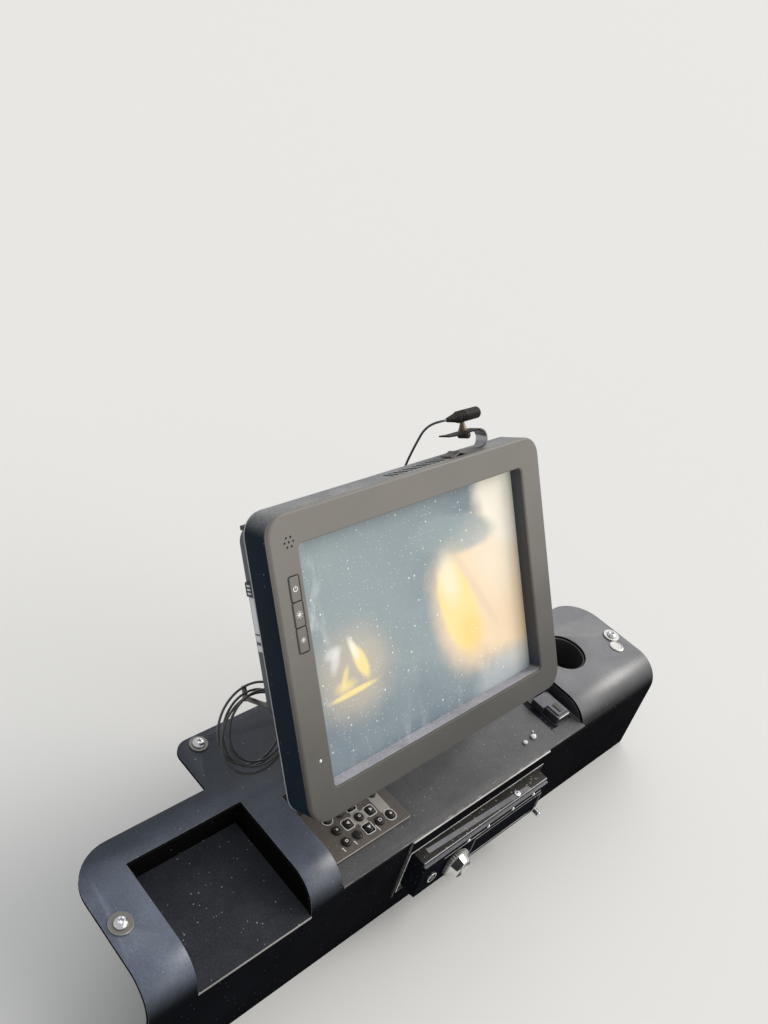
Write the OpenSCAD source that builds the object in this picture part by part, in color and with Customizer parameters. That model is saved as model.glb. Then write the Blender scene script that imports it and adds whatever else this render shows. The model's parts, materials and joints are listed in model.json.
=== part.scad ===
// Dash console of a forestry machine's cab, with its control display, keypad,
// radio, storage pocket and clip-on microphone.
// Millimetres. X runs to the operator's right, Y forwards, Z up. The origin is
// midway between the two front fixing holes, on the underside of the top sheet.

/* [Console sheet] */
// Length of the console from end to end
console_len = 630; // [560:1:700]
// Thickness of the folded steel sheet
sheet_t = 3; // [2:0.5:4]
// Distance from the fixing line forward to the operator's face of the console
face_set = 61; // [56:1:70]
// Outer radius of the large bend between top and face
bend_r = 30; // [24:1:36]
// Height of the face below the underside of the top sheet
face_drop = 117; // [100:1:140]
// Depth of the return flange along the bottom of the face
return_w = 16; // [8:1:30]
// Rear edge of the two end wings, behind the fixing line
wing_back = 64; // [50:1:80]
// Rear edge of the middle part that carries the display stand
mid_back = 115; // [112:1:140]
// Left edge of the deeper middle part
mid_left = -190; // [-210:1:-180]
// Right edge of the deeper middle part
mid_right = 130; // [90:1:160]
// Corner radius at the rear of both ends
end_r = 36; // [20:1:40]

/* [Fixing holes] */
// Distance of the front fixing holes from the console's ends
fix_edge = 12; // [9:1:30]
// Diameter of the fixing holes
fix_d = 6.6; // [5:0.1:9]
// Distance of the left rear hole from the origin, along X
rear_fix_x = -169; // [-180:1:-150]
// Distance of the rear holes behind the fixing line
rear_fix_y = 105; // [98:1:108]
// Distance between the two rear holes
rear_fix_pitch = 280; // [240:1:290]

/* [Storage pocket] */
// Left edge of the pocket
pocket_x = -276; // [-284:1:-266]
// Width of the pocket
pocket_w = 103; // [90:1:110]
// Rear edge of the pocket
pocket_back = 39; // [30:1:50]
// Height of the pocket's floor below the underside of the top sheet
pocket_drop = 24; // [20:1:40]
// How far the floor's bare front edge stands out of the face
pocket_lip = 1; // [0.5:0.5:4]

/* [Shelf] */
// Left edge of the recessed shelf
shelf_x = -141; // [-150:1:-135]
// Width of the recessed shelf
shelf_w = 324; // [300:1:330]
// Rear edge of the shelf
shelf_back = 25; // [15:1:30]
// Height of the shelf's surface below the underside of the top sheet
shelf_drop = 14; // [10:1:20]
// Thickness of the shelf's and the pocket's sheet
tray_t = 2.5; // [1.5:0.5:3]
// Distance of the plug's cut-out from the shelf's right edge
plug_edge = 4; // [3:1:12]
// Width of the plug's cut-out
plug_cut_w = 33; // [30:1:34]
// Front edge of the plug's cut-out
plug_cut_y = -46; // [-50:1:-42]
// Depth of the plug's cut-out, from front to rear
plug_cut_d = 42; // [38:1:50]
// Width of the plug
plug_w = 19; // [14:1:22]
// Depth of the plug, from front to rear
plug_d = 31; // [24:1:34]
// Gap between the plug and the cut-out's front and right edges
plug_gap = 3; // [1:0.5:3]
// Height of the plug's top above the shelf
plug_rise = 9; // [2:1:12]
// Depth of the plug's socket below the shelf
plug_body = 28; // [14:1:40]
// How far the socket's flange reaches past the cut-out
plug_flange = 3; // [2:0.5:3.5]

/* [Tool hole] */
// Distance of the round hole's centre from the shelf's right edge
cup_off = 46; // [38:1:54]
// Centre of the round hole, along Y
cup_y = 12; // [5:1:20]
// Diameter of the round hole
cup_d = 50; // [40:1:52]
// Depth of the liner below the sheet
cup_depth = 60; // [40:1:90]
// Wall of the liner
cup_wall = 2; // [1.5:0.5:4]

/* [Keypad] */
// Left edge of the keypad's plate
keypad_x = -136; // [-138:1:-130]
// Front edge of the keypad's plate
keypad_y = -43; // [-50:1:-38]
// Width of the keypad's plate
keypad_w = 85; // [80:1:100]
// Depth of the keypad's plate, from front to rear
keypad_d = 52; // [48:1:60]
// Thickness of the keypad's plate
keypad_t = 4; // [2:0.5:8]
// Distance from the plate's left edge to the first key's middle
key_left = 20; // [10:1:24]
// Distance from the plate's front edge to the front keys' middles
key_front = 11; // [8:1:14]
// Distance from key to key
key_pitch = 12.5; // [12:0.5:14]
// Diameter of a key
key_d = 8.6; // [6:0.1:10]
// Height of a key above the plate
key_h = 2.2; // [1:0.1:4]

/* [Radio] */
// Middle of the radio, along X
radio_x = 28.5; // [26:0.5:32]
// Middle of the radio below the underside of the top sheet
radio_drop = 58; // [56:1:66]
// Width of the radio's standard slot
slot_w = 182; // [180:1:184]
// Height of the radio's standard slot
slot_h = 53; // [52:1:54]
// Length of the slot's sleeve behind the face
sleeve_len = 100; // [60:1:120]
// Length of the radio's case behind the face
radio_len = 150; // [110:1:160]
// Width of the radio's nose
nose_w = 172; // [160:1:178]
// Height of the radio's nose
nose_h = 46; // [42:1:50]
// How far the radio's nose stands out of the face
nose_out = 17; // [12:1:20]
// Diameter of the turning knob
knob_d = 30; // [24:1:34]
// How far the knob stands out of the nose
knob_out = 11; // [8:1:16]
// Middle of the knob, along X
knob_x = -12; // [-14:1:0]
// Diameter of the round push button
button_d = 11; // [8:1:13]
// Middle of the round push button, along X
button_x = -43.5; // [-46:0.5:-38]

/* [Display] */
// Middle of the screen, along X
screen_x = -25; // [-35:1:-15]
// Middle of the screen, along Y
screen_y = 17; // [10:1:24]
// Middle of the screen above the underside of the top sheet
screen_z = 160; // [155:1:190]
// How far the display leans back from upright, in degrees
lean = 30; // [20:1:35]
// Width of the bezel
bezel_w = 299; // [290:1:310]
// Height of the bezel
bezel_h = 234; // [230:1:240]
// How far the bezel's middle lies above the screen's middle
bezel_up = 1; // [0:0.5:3]
// Corner radius of the bezel
bezel_r = 17; // [10:1:24]
// Width of the opening in the bezel
open_w = 249; // [244:1:252]
// Height of the opening in the bezel
open_h = 187; // [183:1:190]
// Corner radius of the opening
open_r = 4; // [2:0.5:8]
// Depth of the glass behind the bezel's front
glass_set = 13; // [8:0.5:15]
// Depth of the visible front frame at the bezel's edge
bezel_t = 4; // [3:0.5:6]
// Depth of the housing behind the bezel's front
housing_t = 28; // [26:1:40]
// Wall of the housing and of the rear case
case_wall = 2.5; // [2:0.5:4]
// Width of the rear case
chassis_w = 284; // [270:1:288]
// Top of the rear case above the screen's middle
chassis_top = 106; // [100:1:110]
// Bottom of the rear case below the screen's middle
chassis_low = 44; // [42:1:80]
// Depth of the rear case behind the housing
chassis_t = 18; // [14:1:24]
// Corner radius of the rear case
chassis_r = 12; // [6:1:16]

/* [Display stand] */
// Height of the tilt hinge above the underside of the top sheet
pivot_z = 115; // [110:1:130]
// Distance of the tilt hinge behind the fixing line
pivot_y = 78; // [76:1:84]
// Width of the stand's foot plate
foot_w = 90; // [80:1:96]
// Depth of the stand's foot plate, from front to rear
foot_d = 62; // [56:1:70]
// Thickness of the stand's foot plate
foot_t = 6; // [4:1:8]
// Diameter of the post
post_d = 36; // [30:1:40]
// Height of the post's shoulder above the foot plate
post_h = 40; // [30:1:44]
// Diameter of the spigot that the head turns on
spigot_d = 24; // [20:1:26]
// Length of the spigot
spigot_len = 24; // [18:1:26]
// Outer diameter of the head's collar
collar_d = 42; // [38:1:46]
// Thickness of the head's bridge above the spigot
bridge_t = 7; // [5:1:9]
// Free width between the fork's two cheeks
fork_gap = 51; // [46:1:58]
// Thickness of a fork cheek
cheek_t = 8; // [6:1:10]
// Width of a fork cheek
cheek_w = 30; // [26:1:32]
// Diameter of the tilt hinge's pin
pin_d = 10; // [8:1:12]
// Diameter of the display's hinge barrel
barrel_d = 28; // [24:1:30]
// Width of the display's mounting plate
plate_w = 92; // [84:1:110]
// Height of the display's mounting plate
plate_h = 62; // [50:1:64]
// Thickness of the display's mounting plate
plate_t = 5; // [4:1:6]
// Diameter of the two hand knobs on the pin
grip_d = 32; // [26:1:36]
// Length of a hand knob
grip_len = 16; // [12:1:20]

/* [Microphone] */
// Left end of the microphone's tail, to the right of the screen's middle
mic_x = 51; // [48:1:56]
// Length of the microphone with its tail
mic_len = 38; // [34:1:42]
// Length of the tapered tail
mic_tail = 15; // [10:1:15]
// Diameter of the microphone
mic_d = 10; // [8:0.5:11]
// Distance of the microphone and its clip behind the bezel's front
mic_set = 12; // [11:1:16]
// Left end of the clip, to the right of the screen's middle
clip_x = 45; // [42:1:48]
// Length of the clip
clip_len = 48; // [40:1:54]
// Height of the clip over the bezel's top edge
clip_h = 19; // [14:1:22]
// Depth of the clip's spring strip, from front to rear
clip_w = 12; // [8:1:14]
// Thickness of the clip's spring strip
clip_t = 1.2; // [0.8:0.1:2]
// Diameter of the stem between clip and microphone
stem_d = 4; // [3:0.5:6]
// Height of the stem
stem_h = 6.5; // [4:0.5:10]
// Distance of the stem from the tail's end
stem_at = 18; // [18:1:26]

/* [Microphone lead] */
// Diameter of the lead
lead_d = 2; // [1.5:0.1:3]
// Diameter of the hanging coil at the middle of its turns
coil_d = 62; // [50:1:70]
// Thickness of the coil's bundle of turns
coil_t = 12; // [10:1:13]
// Middle of the coil, to the left of the screen's middle
coil_x = -132; // [-136:1:-128]
// Distance of the coil's middle behind the screen
coil_back = 80; // [74:1:90]
// Diameter of the hook's rod that the coil hangs from
hook_d = 4; // [3:0.5:6]
// Diameter of the lead's plug
lead_plug_d = 7; // [5:0.5:9]
// Length of the lead's plug
lead_plug_len = 18; // [12:1:24]

/* [Hidden] */
$fn = 48;

// Clearance all round of pieces that are slipped together
fit = 0.3;
// Clearance all round of the shafts that turn in their bores
run_fit = 0.08;
// Gap at a seat that carries no clamping load
seat_gap = 0.1;
// Gap that keeps turning pieces off what they pass
run_gap = 5;
// Overlap that lets a cut pass a surface
eps = 0.01;
// How far a cut runs out of the sheet
over = 10;

half_len = console_len / 2;
face_in = face_set - sheet_t;
fix_pitch = console_len - 2 * fix_edge;
bend_y = bend_r - face_set;
bend_z = sheet_t - bend_r;
pocket_right = pocket_x + pocket_w;
shelf_right = shelf_x + shelf_w;
plug_cut_x = shelf_right - plug_edge - plug_cut_w;
cup_x = shelf_right + cup_off;
slot_cut_w = slot_w + 2 * fit;
slot_cut_h = slot_h + 2 * fit;
sleeve_t = 1;
nose_front = 3;
nose_drop = 3;
knob_drop = radio_drop + 4;
knob_rim = 4;
knob_taper = 5;
button_drop = radio_drop + 1;
button_out = 2;
stud_d = 7;
stud_out = 8.5;
plug_wing = 5;
plug_wing_d = 14;
plug_step = 2;
panel_spare = 9;
stem_sink = 1;
case_fit = sleeve_t + fit;
bezel_low = bezel_up - bezel_h / 2;
bezel_top = bezel_up + bezel_h / 2;
chassis_back = housing_t + chassis_t;
chassis_h = chassis_top + chassis_low;
foot_top = sheet_t + foot_t;
shoulder_z = foot_top + post_h;
spigot_top = shoulder_z + spigot_len;
bridge_z = spigot_top + seat_gap;
collar_z = shoulder_z + run_gap;
head_w = fork_gap + 2 * cheek_t;

socket_x = -93;
socket_y = -chassis_low - 10;
socket_t = 10;
hook_y = 2.5 + hook_d / 2 - chassis_low;
coil_y = hook_y + hook_d / 2 + seat_gap - (coil_d - coil_t) / 2;

// The hinge seen from the screen's middle, in the display's own frame
hinge_up = (pivot_y - screen_y) * sin(lean) + (pivot_z - screen_z) * cos(lean);
hinge_out = (pivot_y - screen_y) * cos(lean) - (pivot_z - screen_z) * sin(lean);

// Corners of the top sheet that are rounded: x, y, radius, and which way is outside
CORNERS = [
    [-half_len, wing_back, end_r, -1, 1],
    [half_len, wing_back, end_r, 1, 1],
    [mid_left, mid_back, 14, -1, 1],
    [mid_right, mid_back, 14, 1, 1],
];

// Fixing holes: x, y
FIXINGS = [
    [-fix_pitch / 2, 0],
    [fix_pitch / 2, 0],
    [rear_fix_x, rear_fix_y],
    [rear_fix_x + rear_fix_pitch, rear_fix_y],
];

// Keys of the keypad: column and row, counted from the front left key
KEYS = [for (row = [0:2]) for (col = [0:4]) if (row < 2 || col != 3) if (!(row == 1 && col == 4)) [col, row]];

// Buttons of the bezel: height above the screen's middle
BEZEL_BUTTONS = [63.7, 44.8, 25.9];
bezel_button_x = -133.3;
bezel_button_w = 8.4;
bezel_button_h = 18.3;

// Route of the microphone's lead in the display's own frame, from the microphone's
// tail over the top edge and down the back of the rear case to the coil
LEAD = [
    [50.7, 148.5, -12], [45.5, 148.5, -13], [41.5, 147.5, -17], [39.5, 145, -22.5], [38.5, 140.5, -28.5],
    [37.5, 134, -34], [36, 126.5, -39.5], [33.5, 118, -44.5], [29.5, 109, -47.7], [22.5, 100.5, -48.2],
    [13, 92.5, -47.6], [3, 84.5, -47.5], [-7.5, 76.5, -47.5], [-18, 69, -47.5], [-29, 61.5, -47.5],
    [-40, 54, -47.5], [-51, 46.5, -47.5], [-62, 38.5, -47.5], [-72.5, 29.5, -47.5], [-81.5, 19, -47.5],
    [-89, 8, -47.8], [-96.5, -3, -49.5], [-102.5, -12.5, -54], [-107.5, -20.5, -61], [-111, -26, -69],
    [-113.2, -30, -77],
];
// Places of the clips that hold the lead to the back: x, y, turn in degrees
LEAD_CLIPS = [[-12.75, 72.75, 35.5], [-67.25, 34, 40.6]];
// Route from the coil to the plug
LEAD_TAIL = [
    [-105, -47, -73.4], [-104.3, -48.6, -70], [-101, -51.5, -66.8], [-97, -53.4, -64.3],
    [-94.2, -54, -61], [-93, -54, -56.3],
];
lead_sides = 8;

// Places a child that is drawn in the display's frame: X right, Y up the screen,
// Z out of the screen towards the operator, origin at the middle of the screen
module in_display() {
    translate([screen_x, screen_y, screen_z]) rotate([90 - lean, 0, 0]) children();
}

// Plate with rounded corners, middle of its lower face at the origin
module round_plate(w, h, t, r) {
    linear_extrude(t) union() {
        square([w - 2 * r, h], center = true);
        square([w, h - 2 * r], center = true);
        for (sx = [-1, 1]) for (sy = [-1, 1])
            translate([sx * (w / 2 - r), sy * (h / 2 - r)]) circle(r);
    }
}

// Round bar along X, centred at the origin
module bar_x(d, len) {
    rotate([0, 90, 0]) cylinder(d = d, h = len, center = true);
}

// What is cut off to round a corner of a vertical edge
module corner_cut(x, y, r, sx, sy) {
    translate([x, y, 0]) difference() {
        translate([sx > 0 ? -r : -over, sy > 0 ? -r : -over, -over]) cube([r + over, r + over, 2 * over + sheet_t]);
        translate([-sx * r, -sy * r, -over - 1]) cylinder(r = r, h = 2 * over + sheet_t + 2);
    }
}

// Space under the folded sheet, between two places along X
module under_sheet(x0, x1, z0) {
    intersection() {
        translate([x0, -face_in, z0]) cube([x1 - x0, face_in + mid_back, -z0]);
        union() {
            translate([x0 - 1, bend_y, -face_drop]) cube([x1 - x0 + 2, mid_back + bend_r + face_set, face_drop]);
            translate([x0 - 1, -face_set, -face_drop]) cube([x1 - x0 + 2, bend_r, face_drop + bend_z]);
            translate([(x0 + x1) / 2, bend_y, bend_z]) bar_x(2 * (bend_r - sheet_t), x1 - x0 + 2);
        }
    }
}

// The folded sheet before anything is cut out of it
module folded_sheet() {
    translate([-half_len, bend_y, 0]) cube([console_len, mid_back - bend_y, sheet_t]);
    translate([-half_len, -face_set, -face_drop]) cube([console_len, sheet_t, face_drop + bend_z]);
    translate([-half_len, -face_set, -face_drop]) cube([console_len, return_w, sheet_t]);
    intersection() {
        translate([-half_len, -face_set, bend_z]) cube([console_len, bend_r, bend_r]);
        translate([0, bend_y, bend_z]) difference() {
            bar_x(2 * bend_r, console_len);
            bar_x(2 * (bend_r - sheet_t), console_len + 2);
        }
    }
}

module console_shell() {
    color([0.11, 0.11, 0.12]) difference() {
        folded_sheet();
        translate([-half_len - over, wing_back, -over])
            cube([half_len + over + mid_left, mid_back, 2 * over + sheet_t]);
        translate([mid_right, wing_back, -over])
            cube([half_len + over - mid_right, mid_back, 2 * over + sheet_t]);
        for (c = CORNERS) corner_cut(c[0], c[1], c[2], c[3], c[4]);
        for (p = FIXINGS) translate([p[0], p[1], -1]) cylinder(d = fix_d, h = sheet_t + 2);
        translate([pocket_x, -face_set - over, -pocket_drop - tray_t])
            cube([pocket_w, face_set + over + pocket_back, pocket_drop + tray_t + over]);
        translate([shelf_x, -face_set - over, -shelf_drop - tray_t])
            cube([shelf_w, face_set + over + shelf_back, shelf_drop + tray_t + over]);
        translate([radio_x - slot_cut_w / 2, -face_set - 1, -radio_drop - slot_cut_h / 2])
            cube([slot_cut_w, sheet_t + 2, slot_cut_h]);
        translate([cup_x, cup_y, -1]) cylinder(d = cup_d, h = sheet_t + 2);
    }
}

// Tray welded under a cut-out: floor, rear wall and two walls that follow the bend
module tray(x, w, back, drop, lip) {
    translate([x, -face_set - lip, -drop - tray_t]) cube([w, face_set + lip + back, tray_t]);
    translate([x - tray_t, back, -drop - tray_t]) cube([w + 2 * tray_t, tray_t, drop + tray_t]);
    for (x0 = [x - tray_t, x + w]) intersection() {
        under_sheet(x0, x0 + tray_t, -drop - tray_t);
        translate([x0, -face_set, -drop - tray_t]) cube([tray_t, face_set + back, drop + tray_t]);
    }
}

module shelf_tray() {
    color([0.12, 0.12, 0.13]) difference() {
        tray(shelf_x, shelf_w, shelf_back, shelf_drop, 0);
        translate([plug_cut_x, plug_cut_y, -shelf_drop - tray_t - 1])
            cube([plug_cut_w, plug_cut_d, tray_t + 2]);
    }
}

module pocket_tray() {
    color([0.12, 0.12, 0.13]) tray(pocket_x, pocket_w, pocket_back, pocket_drop, pocket_lip);
}

module tool_cup() {
    color([0.08, 0.08, 0.08]) translate([cup_x, cup_y, 0]) difference() {
        union() {
            translate([0, 0, -cup_depth]) cylinder(d = cup_d - 2 * fit, h = cup_depth);
            translate([0, 0, -cup_wall]) cylinder(d = cup_d + 4 * cup_wall, h = cup_wall);
        }
        translate([0, 0, cup_wall - cup_depth])
            cylinder(d = cup_d - 2 * fit - 2 * cup_wall, h = cup_depth);
    }
}

module keypad_plate() {
    color([0.16, 0.15, 0.15]) translate([keypad_x + keypad_w / 2, keypad_y + keypad_d / 2, -shelf_drop])
        round_plate(keypad_w, keypad_d, keypad_t, 2);
}

module keypad_keys() {
    first_x = keypad_x + key_left;
    first_y = keypad_y + key_front;
    color([0.1, 0.1, 0.1]) for (k = KEYS)
        translate([first_x + k[0] * key_pitch, first_y + k[1] * key_pitch, keypad_t - shelf_drop])
            cylinder(d = key_d, h = key_h);
}

module radio_sleeve() {
    color([0.6, 0.6, 0.6]) translate([radio_x - slot_w / 2, -face_set, -radio_drop - slot_h / 2]) difference() {
        cube([slot_w, sleeve_len, slot_h]);
        translate([sleeve_t, -1, sleeve_t]) cube([slot_w - 2 * sleeve_t, sleeve_len + 2, slot_h - 2 * sleeve_t]);
    }
}

module radio_case() {
    color([0.45, 0.45, 0.46])
        translate([radio_x - slot_w / 2 + case_fit, -face_set, -radio_drop - slot_h / 2 + case_fit])
            cube([slot_w - 2 * case_fit, radio_len, slot_h - 2 * case_fit]);
}

module radio_nose() {
    color([0.1, 0.1, 0.1]) translate([radio_x - nose_w / 2, -face_set - nose_out, -radio_drop - nose_h / 2]) {
        translate([0, nose_front, 0]) cube([nose_w, nose_out - nose_front, nose_h]);
        cube([nose_w, nose_front, nose_h - nose_drop]);
    }
}

module radio_knob() {
    color([0.75, 0.75, 0.76]) translate([knob_x, -face_set - nose_out, -knob_drop]) rotate([90, 0, 0]) {
        cylinder(d = knob_d, h = knob_rim);
        cylinder(d1 = knob_d - knob_taper, d2 = knob_d - 2 * knob_taper, h = knob_out);
    }
}

module radio_buttons() {
    color([0.13, 0.13, 0.13]) translate([button_x, -face_set - nose_out, -button_drop]) rotate([90, 0, 0])
        cylinder(d = button_d, h = button_out);
    color([0.13, 0.13, 0.13])
        translate([radio_x + nose_w / 2 - stud_d, -face_set - nose_out, stud_d - radio_drop - nose_h / 2])
            rotate([90, 0, 0]) cylinder(d = stud_d, h = stud_out);
}

// Plug in the shelf's cut-out, on a socket whose flange is fixed under the shelf
module plug_block() {
    under = -shelf_drop - tray_t;
    flange_t = 2.5;
    flange_x = plug_cut_w / 2;
    color([0.1, 0.1, 0.1]) translate([plug_cut_x + plug_cut_w, plug_cut_y, 0]) {
        translate([-flange_x - 2 * plug_flange, -plug_flange, under - flange_t])
            cube([flange_x + 3 * plug_flange, plug_cut_d + 2 * plug_flange, flange_t]);
        translate([-plug_w - plug_gap, plug_gap, -shelf_drop - plug_body])
            cube([plug_w, plug_d, plug_body + plug_rise - plug_step]);
        translate([-plug_w - plug_gap - plug_wing, plug_gap + plug_d - plug_wing_d, -shelf_drop])
            cube([plug_w, plug_wing_d, plug_rise]);
        translate([plug_step - plug_w - plug_gap, plug_gap + plug_step, -shelf_drop])
            cube([plug_w - 2 * plug_step, plug_d - 2 * plug_step, plug_rise]);
    }
}

module stand_foot() {
    color([0.1, 0.1, 0.1]) translate([screen_x, pivot_y, 0]) {
        translate([0, 0, sheet_t]) round_plate(foot_w, foot_d, foot_t, 8);
        translate([0, 0, foot_top]) cylinder(d = post_d, h = post_h);
        translate([0, 0, shoulder_z]) cylinder(d = spigot_d, h = spigot_len);
    }
}

module swivel_head() {
    color([0.13, 0.13, 0.13]) translate([screen_x, pivot_y, 0]) difference() {
        union() {
            translate([0, 0, collar_z]) cylinder(d = collar_d, h = bridge_z - collar_z);
            translate([-head_w / 2, -cheek_w / 2, bridge_z]) cube([head_w, cheek_w, bridge_t]);
            for (s = [-1, 1]) {
                x0 = s > 0 ? fork_gap / 2 : -head_w / 2;
                translate([x0, -cheek_w / 2, bridge_z]) cube([cheek_t, cheek_w, pivot_z - bridge_z]);
                translate([x0 + cheek_t / 2, 0, pivot_z]) bar_x(cheek_w, cheek_t);
            }
        }
        translate([0, 0, collar_z - 1]) cylinder(d = spigot_d + 2 * run_fit, h = bridge_z - collar_z + 1);
        translate([0, 0, pivot_z]) bar_x(pin_d, head_w + 2);
    }
}

module tilt_pin() {
    color([0.7, 0.7, 0.72]) translate([screen_x, pivot_y, pivot_z]) bar_x(pin_d, head_w + grip_len);
}

module tilt_knobs() {
    color([0.08, 0.08, 0.08]) translate([screen_x, pivot_y, pivot_z]) difference() {
        for (s = [-1, 1]) translate([s * (head_w + grip_len) / 2, 0, 0]) bar_x(grip_d, grip_len);
        bar_x(pin_d, head_w + grip_len);
    }
}

module hinge_bracket() {
    web_out = hinge_out - chassis_back;
    barrel_len = fork_gap - 2 * fit;
    color([0.13, 0.13, 0.13]) in_display() difference() {
        union() {
            translate([0, hinge_up, -chassis_back - plate_t]) round_plate(plate_w, plate_h, plate_t, 6);
            translate([-barrel_len / 2, hinge_up - barrel_d / 2, -hinge_out])
                cube([barrel_len, barrel_d, web_out - plate_t]);
            translate([0, hinge_up, -hinge_out]) bar_x(barrel_d, barrel_len);
        }
        translate([0, hinge_up, -hinge_out]) bar_x(pin_d + 2 * run_fit, fork_gap);
    }
}

module display_bezel() {
    color([0.33, 0.31, 0.3]) in_display() difference() {
        union() {
            translate([0, bezel_up, -bezel_t]) round_plate(bezel_w, bezel_h, bezel_t, bezel_r);
            translate([0, 0, -glass_set]) round_plate(open_w + 6, open_h + 6, glass_set - eps, open_r + 3);
        }
        translate([0, 0, -glass_set - 1]) round_plate(open_w, open_h, glass_set + 2, open_r);
        for (y = BEZEL_BUTTONS) translate([bezel_button_x, y, -bezel_t - 1])
            round_plate(bezel_button_w + 2 * fit, bezel_button_h + 2 * fit, bezel_t + 2, 1.5);
    }
}

module bezel_buttons() {
    color([0.35, 0.33, 0.32]) in_display() for (y = BEZEL_BUTTONS)
        translate([bezel_button_x, y, -bezel_t]) round_plate(bezel_button_w, bezel_button_h, bezel_t + 0.6, 1.3);
}

module display_housing() {
    color([0.1, 0.11, 0.14]) in_display() difference() {
        translate([0, bezel_up, -housing_t]) round_plate(bezel_w, bezel_h, housing_t - bezel_t, bezel_r);
        translate([0, bezel_up, case_wall - housing_t])
            round_plate(bezel_w - 2 * case_wall, bezel_h - 2 * case_wall, housing_t, bezel_r - case_wall);
    }
}

module rear_chassis() {
    mid = (chassis_top - chassis_low) / 2;
    color([0.42, 0.45, 0.46]) in_display() difference() {
        translate([0, mid, -chassis_back]) round_plate(chassis_w, chassis_h, chassis_t, chassis_r);
        translate([0, mid, case_wall - chassis_back])
            round_plate(chassis_w - 2 * case_wall, chassis_h - 2 * case_wall, chassis_t, chassis_r - case_wall);
    }
}

module screen_glass() {
    color([0.35, 0.4, 0.42]) in_display()
        translate([0, 0, -glass_set - 2]) round_plate(open_w + 5, open_h + 5, 2, open_r);
}

module screen_panel() {
    depth = housing_t - case_wall - glass_set - 2;
    color([0.3, 0.3, 0.3]) in_display()
        translate([0, 0, -glass_set - 2 - depth]) round_plate(open_w + 2 * panel_spare, open_h + 2 * panel_spare, depth, open_r);
}

// Spring strip bent back on itself, which sits on the housing's top, and its stem
module mic_clip() {
    bend = clip_h / 2;
    arm = clip_len - bend;
    color([0.4, 0.4, 0.4]) in_display() translate([clip_x, bezel_top, -mic_set]) {
        translate([0, 0, -clip_w / 2]) linear_extrude(clip_w) {
            square([arm, clip_t]);
            translate([0, clip_h - clip_t]) square([arm, clip_t]);
            translate([arm, bend]) intersection() {
                difference() {
                    circle(bend);
                    circle(bend - clip_t);
                }
                translate([0, -bend]) square([bend, clip_h]);
            }
        }
        translate([mic_x - clip_x + stem_at, clip_h, 0]) rotate([-90, 0, 0]) cylinder(d = stem_d, h = stem_h + stem_sink);
    }
}

module mic_body() {
    tail_d = 3;
    color([0.06, 0.06, 0.06]) in_display()
        translate([mic_x, bezel_top + clip_h + stem_h + mic_d / 2, -mic_set]) rotate([0, 90, 0]) difference() {
            union() {
                cylinder(d1 = tail_d, d2 = mic_d, h = mic_tail);
                translate([0, 0, mic_tail]) cylinder(d = mic_d, h = mic_len - mic_tail);
            }
            translate([0, -mic_d / 2 - stem_sink, stem_at]) rotate([-90, 0, 0]) cylinder(d = stem_d, h = 2 * stem_sink);
        }
}

// Socket on the back of the housing, below the rear case, for the lead's plug
module lead_socket() {
    color([0.2, 0.2, 0.2]) in_display() translate([socket_x, socket_y, -housing_t - socket_t / 2])
        cube([2 * lead_plug_d, 2 * lead_plug_d - 1, socket_t], center = true);
}

module lead_plug() {
    color([0.06, 0.06, 0.06]) in_display() translate([socket_x, socket_y, -housing_t - socket_t - lead_plug_len])
        cylinder(d = lead_plug_d, h = lead_plug_len);
}

// Bent rod on the back of the rear case that the coil hangs from
module lead_hook() {
    reach = coil_back + coil_t / 2 + hook_d + 1;
    color([0.06, 0.06, 0.06]) in_display() translate([coil_x, hook_y, 0]) {
        translate([0, 0, -reach]) cylinder(d = hook_d, h = reach - chassis_back);
        translate([0, -hook_d / 2, hook_d / 2 - reach]) rotate([-90, 0, 0]) cylinder(d = hook_d, h = 3 * hook_d);
    }
}

// Saddles on the back of the rear case that hold the lead down
module lead_clips() {
    saddle = 2 * lead_d;
    color([0.06, 0.06, 0.06]) in_display() for (c = LEAD_CLIPS)
        translate([c[0], c[1], -chassis_back - saddle / 2]) rotate([0, 0, c[2]]) difference() {
            cube([saddle, 2 * saddle, saddle], center = true);
            translate([0, 0, saddle / 2]) cube([2 * saddle, lead_d + 4 * fit, 2 * saddle - lead_d], center = true);
        }
}

// Direction of a route at point i, and the ring of the swept tube there; no stretch of
// the route runs along the side direction
function ahead(p, i) = let (a = p[max(i - 1, 0)], b = p[min(i + 1, len(p) - 1)]) (b - a) / norm(b - a);
function ring_at(p, i, d, side) =
    let (t = ahead(p, i), u = cross(t, side), n = u / norm(u), m = cross(t, n))
    [for (k = [0:lead_sides - 1]) p[i] + d / 2 * (cos(k * 360 / lead_sides) * n + sin(k * 360 / lead_sides) * m)];

// Tube swept along a route of points
module swept_tube(p, d, side) {
    n = len(p);
    s = lead_sides;
    polyhedron(
        points = [for (i = [0:n - 1]) each ring_at(p, i, d, side)],
        faces = concat(
            [[for (k = [0:s - 1]) k]],
            [for (i = [0:n - 2]) for (k = [0:s - 1])
                [i * s + (k + 1) % s, i * s + k, (i + 1) * s + k, (i + 1) * s + (k + 1) % s]],
            [[for (k = [s - 1:-1:0]) (n - 1) * s + k]]));
}

module lead_run() {
    color([0.05, 0.05, 0.05]) in_display() swept_tube(LEAD, lead_d, [0, 1, -1]);
}

module lead_coil() {
    color([0.05, 0.05, 0.05]) in_display() translate([coil_x, coil_y, -coil_back])
        rotate_extrude() translate([coil_d / 2, 0]) circle(d = coil_t);
}

module lead_tail() {
    color([0.05, 0.05, 0.05]) in_display() swept_tube(LEAD_TAIL, lead_d, [0, 1, 0]);
}

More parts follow.
